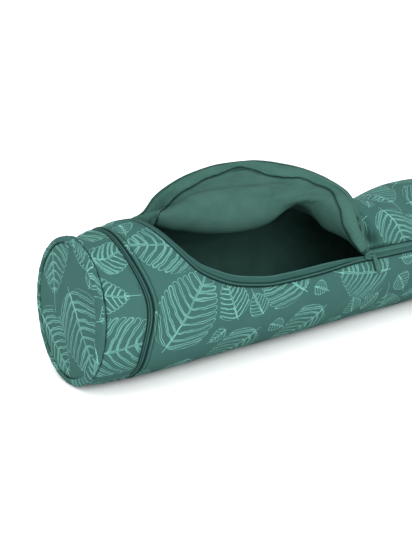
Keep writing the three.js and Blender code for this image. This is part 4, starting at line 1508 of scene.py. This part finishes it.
# Sliders: a waisted body, an arch over it and a pull through the arch, in millimetres on the zip
sliderSizes = {
    "main": {"length": 13.0, "width": 9.0, "pullLength": 31.0, "pullWidth": 7.0},
    "pocket": {"length": 12.0, "width": 9.0, "pullLength": 20.0, "pullWidth": 5.6, "angle": 176.0},
    "height": 2.4, "lift": 0.7, "archHeight": 5.6, "archWire": 0.65, "archShare": 0.375, "archSunk": 0.3,
    "pullThickness": 1.5, "hole": 1.5, "swing": 25.0, "soften": 0.55, "pullSoften": 0.35,
}
sliderOutline = [
    (-0.5, -0.32), (-0.1, -0.5), (0.38, -0.5), (0.5, -0.3),
    (0.5, 0.3), (0.38, 0.5), (-0.1, 0.5), (-0.5, 0.32),
]
pullOutline = [
    (0, 0.02), (0.2, 0.0), (0.3, 0.04), (0.34, 0.14), (0.38, 0.3), (0.44, 0.5), (0.5, 0.68), (0.46, 0.8),
    (0.26, 0.91), (0, 1), (-0.26, 0.91), (-0.46, 0.8), (-0.5, 0.68), (-0.44, 0.5), (-0.38, 0.3),
    (-0.34, 0.14), (-0.3, 0.04), (-0.2, 0.0),
]


# Flat face lifted into a plate with softened edges
def thicken(mesh, faces, height, soften):
    lifted = bmesh.ops.extrude_face_region(mesh, geom=faces)["geom"]
    corners = [part for part in lifted if isinstance(part, bmesh.types.BMVert)]
    bmesh.ops.translate(mesh, verts=corners, vec=(0, 0, height))
    bmesh.ops.recalc_face_normals(mesh, faces=mesh.faces)
    sharp = [e for e in mesh.edges if len(e.link_faces) == 2 and e.calc_face_angle(0) > 0.9]
    bmesh.ops.bevel(mesh, geom=sharp, offset=soften, segments=2, profile=0.5, affect="EDGES", material=-1)


def sliderBody(length, width):
    mesh = bmesh.new()
    bmesh.ops.create_circle(mesh, cap_ends=True, segments=len(sliderOutline), radius=1)
    for vert, (a, b) in zip(mesh.verts, sliderOutline):
        vert.co = (a * length, b * width, sliderSizes["lift"])
    thicken(mesh, mesh.faces[:], sliderSizes["height"], sliderSizes["soften"])
    arch = bmesh.new()
    half, wire = sliderSizes["archShare"] * length, sliderSizes["archWire"]
    bmesh.ops.create_circle(arch, cap_ends=True, segments=10, radius=wire,
                            matrix=Matrix.Translation((-half, 0, 0)) @ Matrix.Rotation(math.pi / 2, 4, "Z"))
    bmesh.ops.spin(arch, geom=arch.verts[:] + arch.edges[:] + arch.faces[:], angle=math.pi, steps=14,
                   axis=(0, 1, 0), cent=(0, 0, 0), use_merge=False)
    bmesh.ops.recalc_face_normals(arch, faces=arch.faces)
    rise = (sliderSizes["archHeight"] - wire) / half
    bmesh.ops.scale(arch, verts=arch.verts, vec=(1, 1.5, rise))
    foot = sliderSizes["lift"] + sliderSizes["height"] - sliderSizes["archSunk"]
    bmesh.ops.translate(arch, verts=arch.verts, vec=(0, 0, foot))
    holder = bpy.data.meshes.new("arch")
    arch.to_mesh(holder)
    arch.free()
    mesh.from_mesh(holder)
    bpy.data.meshes.remove(holder)
    return mesh


def pullPlate(length, width):
    mesh = bmesh.new()
    count = len(pullOutline)
    head = 0.1 * length
    outer = bmesh.ops.create_circle(mesh, segments=count, radius=1)["verts"]
    inner = bmesh.ops.create_circle(mesh, segments=count, radius=sliderSizes["hole"])["verts"]
    for k, (a, b) in enumerate(pullOutline):
        turn = 2 * math.pi * k / count
        outer[k].co = (a * width, head - b * length, 0)
        inner[k].co = (math.sin(turn) * 0.8 * sliderSizes["hole"], math.cos(turn) * sliderSizes["hole"], 0)
    bmesh.ops.bridge_loops(mesh, edges=mesh.edges[:])
    thicken(mesh, mesh.faces[:], sliderSizes["pullThickness"], sliderSizes["pullSoften"])
    swell = Matrix.Translation((0, head - 0.62 * length, sliderSizes["pullThickness"]))
    swell = swell @ Matrix.Diagonal((0.2 * width, 0.26 * length, 0.45, 1))
    bmesh.ops.create_uvsphere(mesh, u_segments=10, v_segments=8, radius=1, matrix=swell)
    return mesh


def placePiece(name, mesh, mount, nodes=()):
    bmesh.ops.transform(mesh, matrix=mount, verts=mesh.verts)
    bmesh.ops.scale(mesh, verts=mesh.verts, vec=(mm, mm, mm))
    return finishPiece(name, mesh, sliderPaint, nodes)


def turned(degrees, axis):
    return Matrix.Rotation(math.radians(degrees), 4, axis)


def mountAt(x, angle):
    return Matrix.Translation(bagSizes["origin"] + tubePoint(x, angle)) @ turned(90 - angle, "X")


# The main pull lies over the front edge, the pocket's pull hangs down
main, pocket = sliderSizes["main"], sliderSizes["pocket"]
sliderTop = sliderSizes["lift"] + sliderSizes["height"]
mount = mountAt(openingEnd - 0.08 * main["length"], zipCentre)
hang = Matrix.Translation((sliderSizes["archShare"] * main["length"] - 0.4, 0, sliderTop + 1.0))
hang = hang @ turned(zipCentre - 4, "X") @ turned(sliderSizes["swing"], "Z")
placePiece("slider", sliderBody(main["length"], main["width"]), mount, ["main_zip_slider"])
placePiece("pull", pullPlate(main["pullLength"], main["pullWidth"]), mount @ hang, ["main_zip_pull"])
mount = mountAt(ringCentre, pocket["angle"]) @ turned(90, "Z")
hang = Matrix.Translation((sliderSizes["archShare"] * pocket["length"] - 0.6, 0, sliderTop + 1.3))
hang = hang @ turned(90, "Z")
placePiece("pocket_slider", sliderBody(pocket["length"], pocket["width"]), mount, ["pocket_zip_slider"])
placePiece("pocket_pull", pullPlate(pocket["pullLength"], pocket["pullWidth"]), mount @ hang)
print("sliders made")


# Soft studio light over a pale floor: each light's place, target, size and power
studio = {
    "world": 1.6, "sky": (1.0, 1.0, 1.0), "floor": (0.97, 0.97, 0.97), "floorSize": 6,
    "lights": {
        "keyLight": ((-0.75, -1.5, 1.0), (-0.1, 0, 0.05), 1.2, 19),
        "topLight": ((-0.3, -0.2, 1.6), (-0.15, 0, 0.05), 1.2, 1),
        "sideLight": ((-1.3, -0.7, 0.55), (-0.05, 0, 0.09), 0.5, 1.5),
    },
}
world = bpy.data.worlds.new("studio")
scene.world = world
world.use_nodes = True
background = world.node_tree.nodes["Background"]
background.inputs["Color"].default_value = (*studio["sky"], 1)
background.inputs["Strength"].default_value = studio["world"]
for name, (place, target, size, power) in studio["lights"].items():
    data = bpy.data.lights.new(name, "AREA")
    data.size = size
    data.energy = power
    light = bpy.data.objects.new(name, data)
    scene.collection.objects.link(light)
    light.location = place
    light.rotation_euler = (Vector(target) - Vector(place)).to_track_quat("-Z", "Y").to_euler()

floorData = bpy.data.meshes.new("floor")
floorMesh = bmesh.new()
bmesh.ops.create_grid(floorMesh, x_segments=1, y_segments=1, size=studio["floorSize"])
floorMesh.to_mesh(floorData)
floorMesh.free()
floor = bpy.data.objects.new("floor", floorData)
scene.collection.objects.link(floor)
floorLook, floorShader, floorTree = newMaterial("paleFloor", 0.9)
floorShader.inputs["Base Color"].default_value = (*studio["floor"], 1)
floorData.materials.append(floorLook)
scene.view_settings.view_transform = "Standard"

print("scene ready")
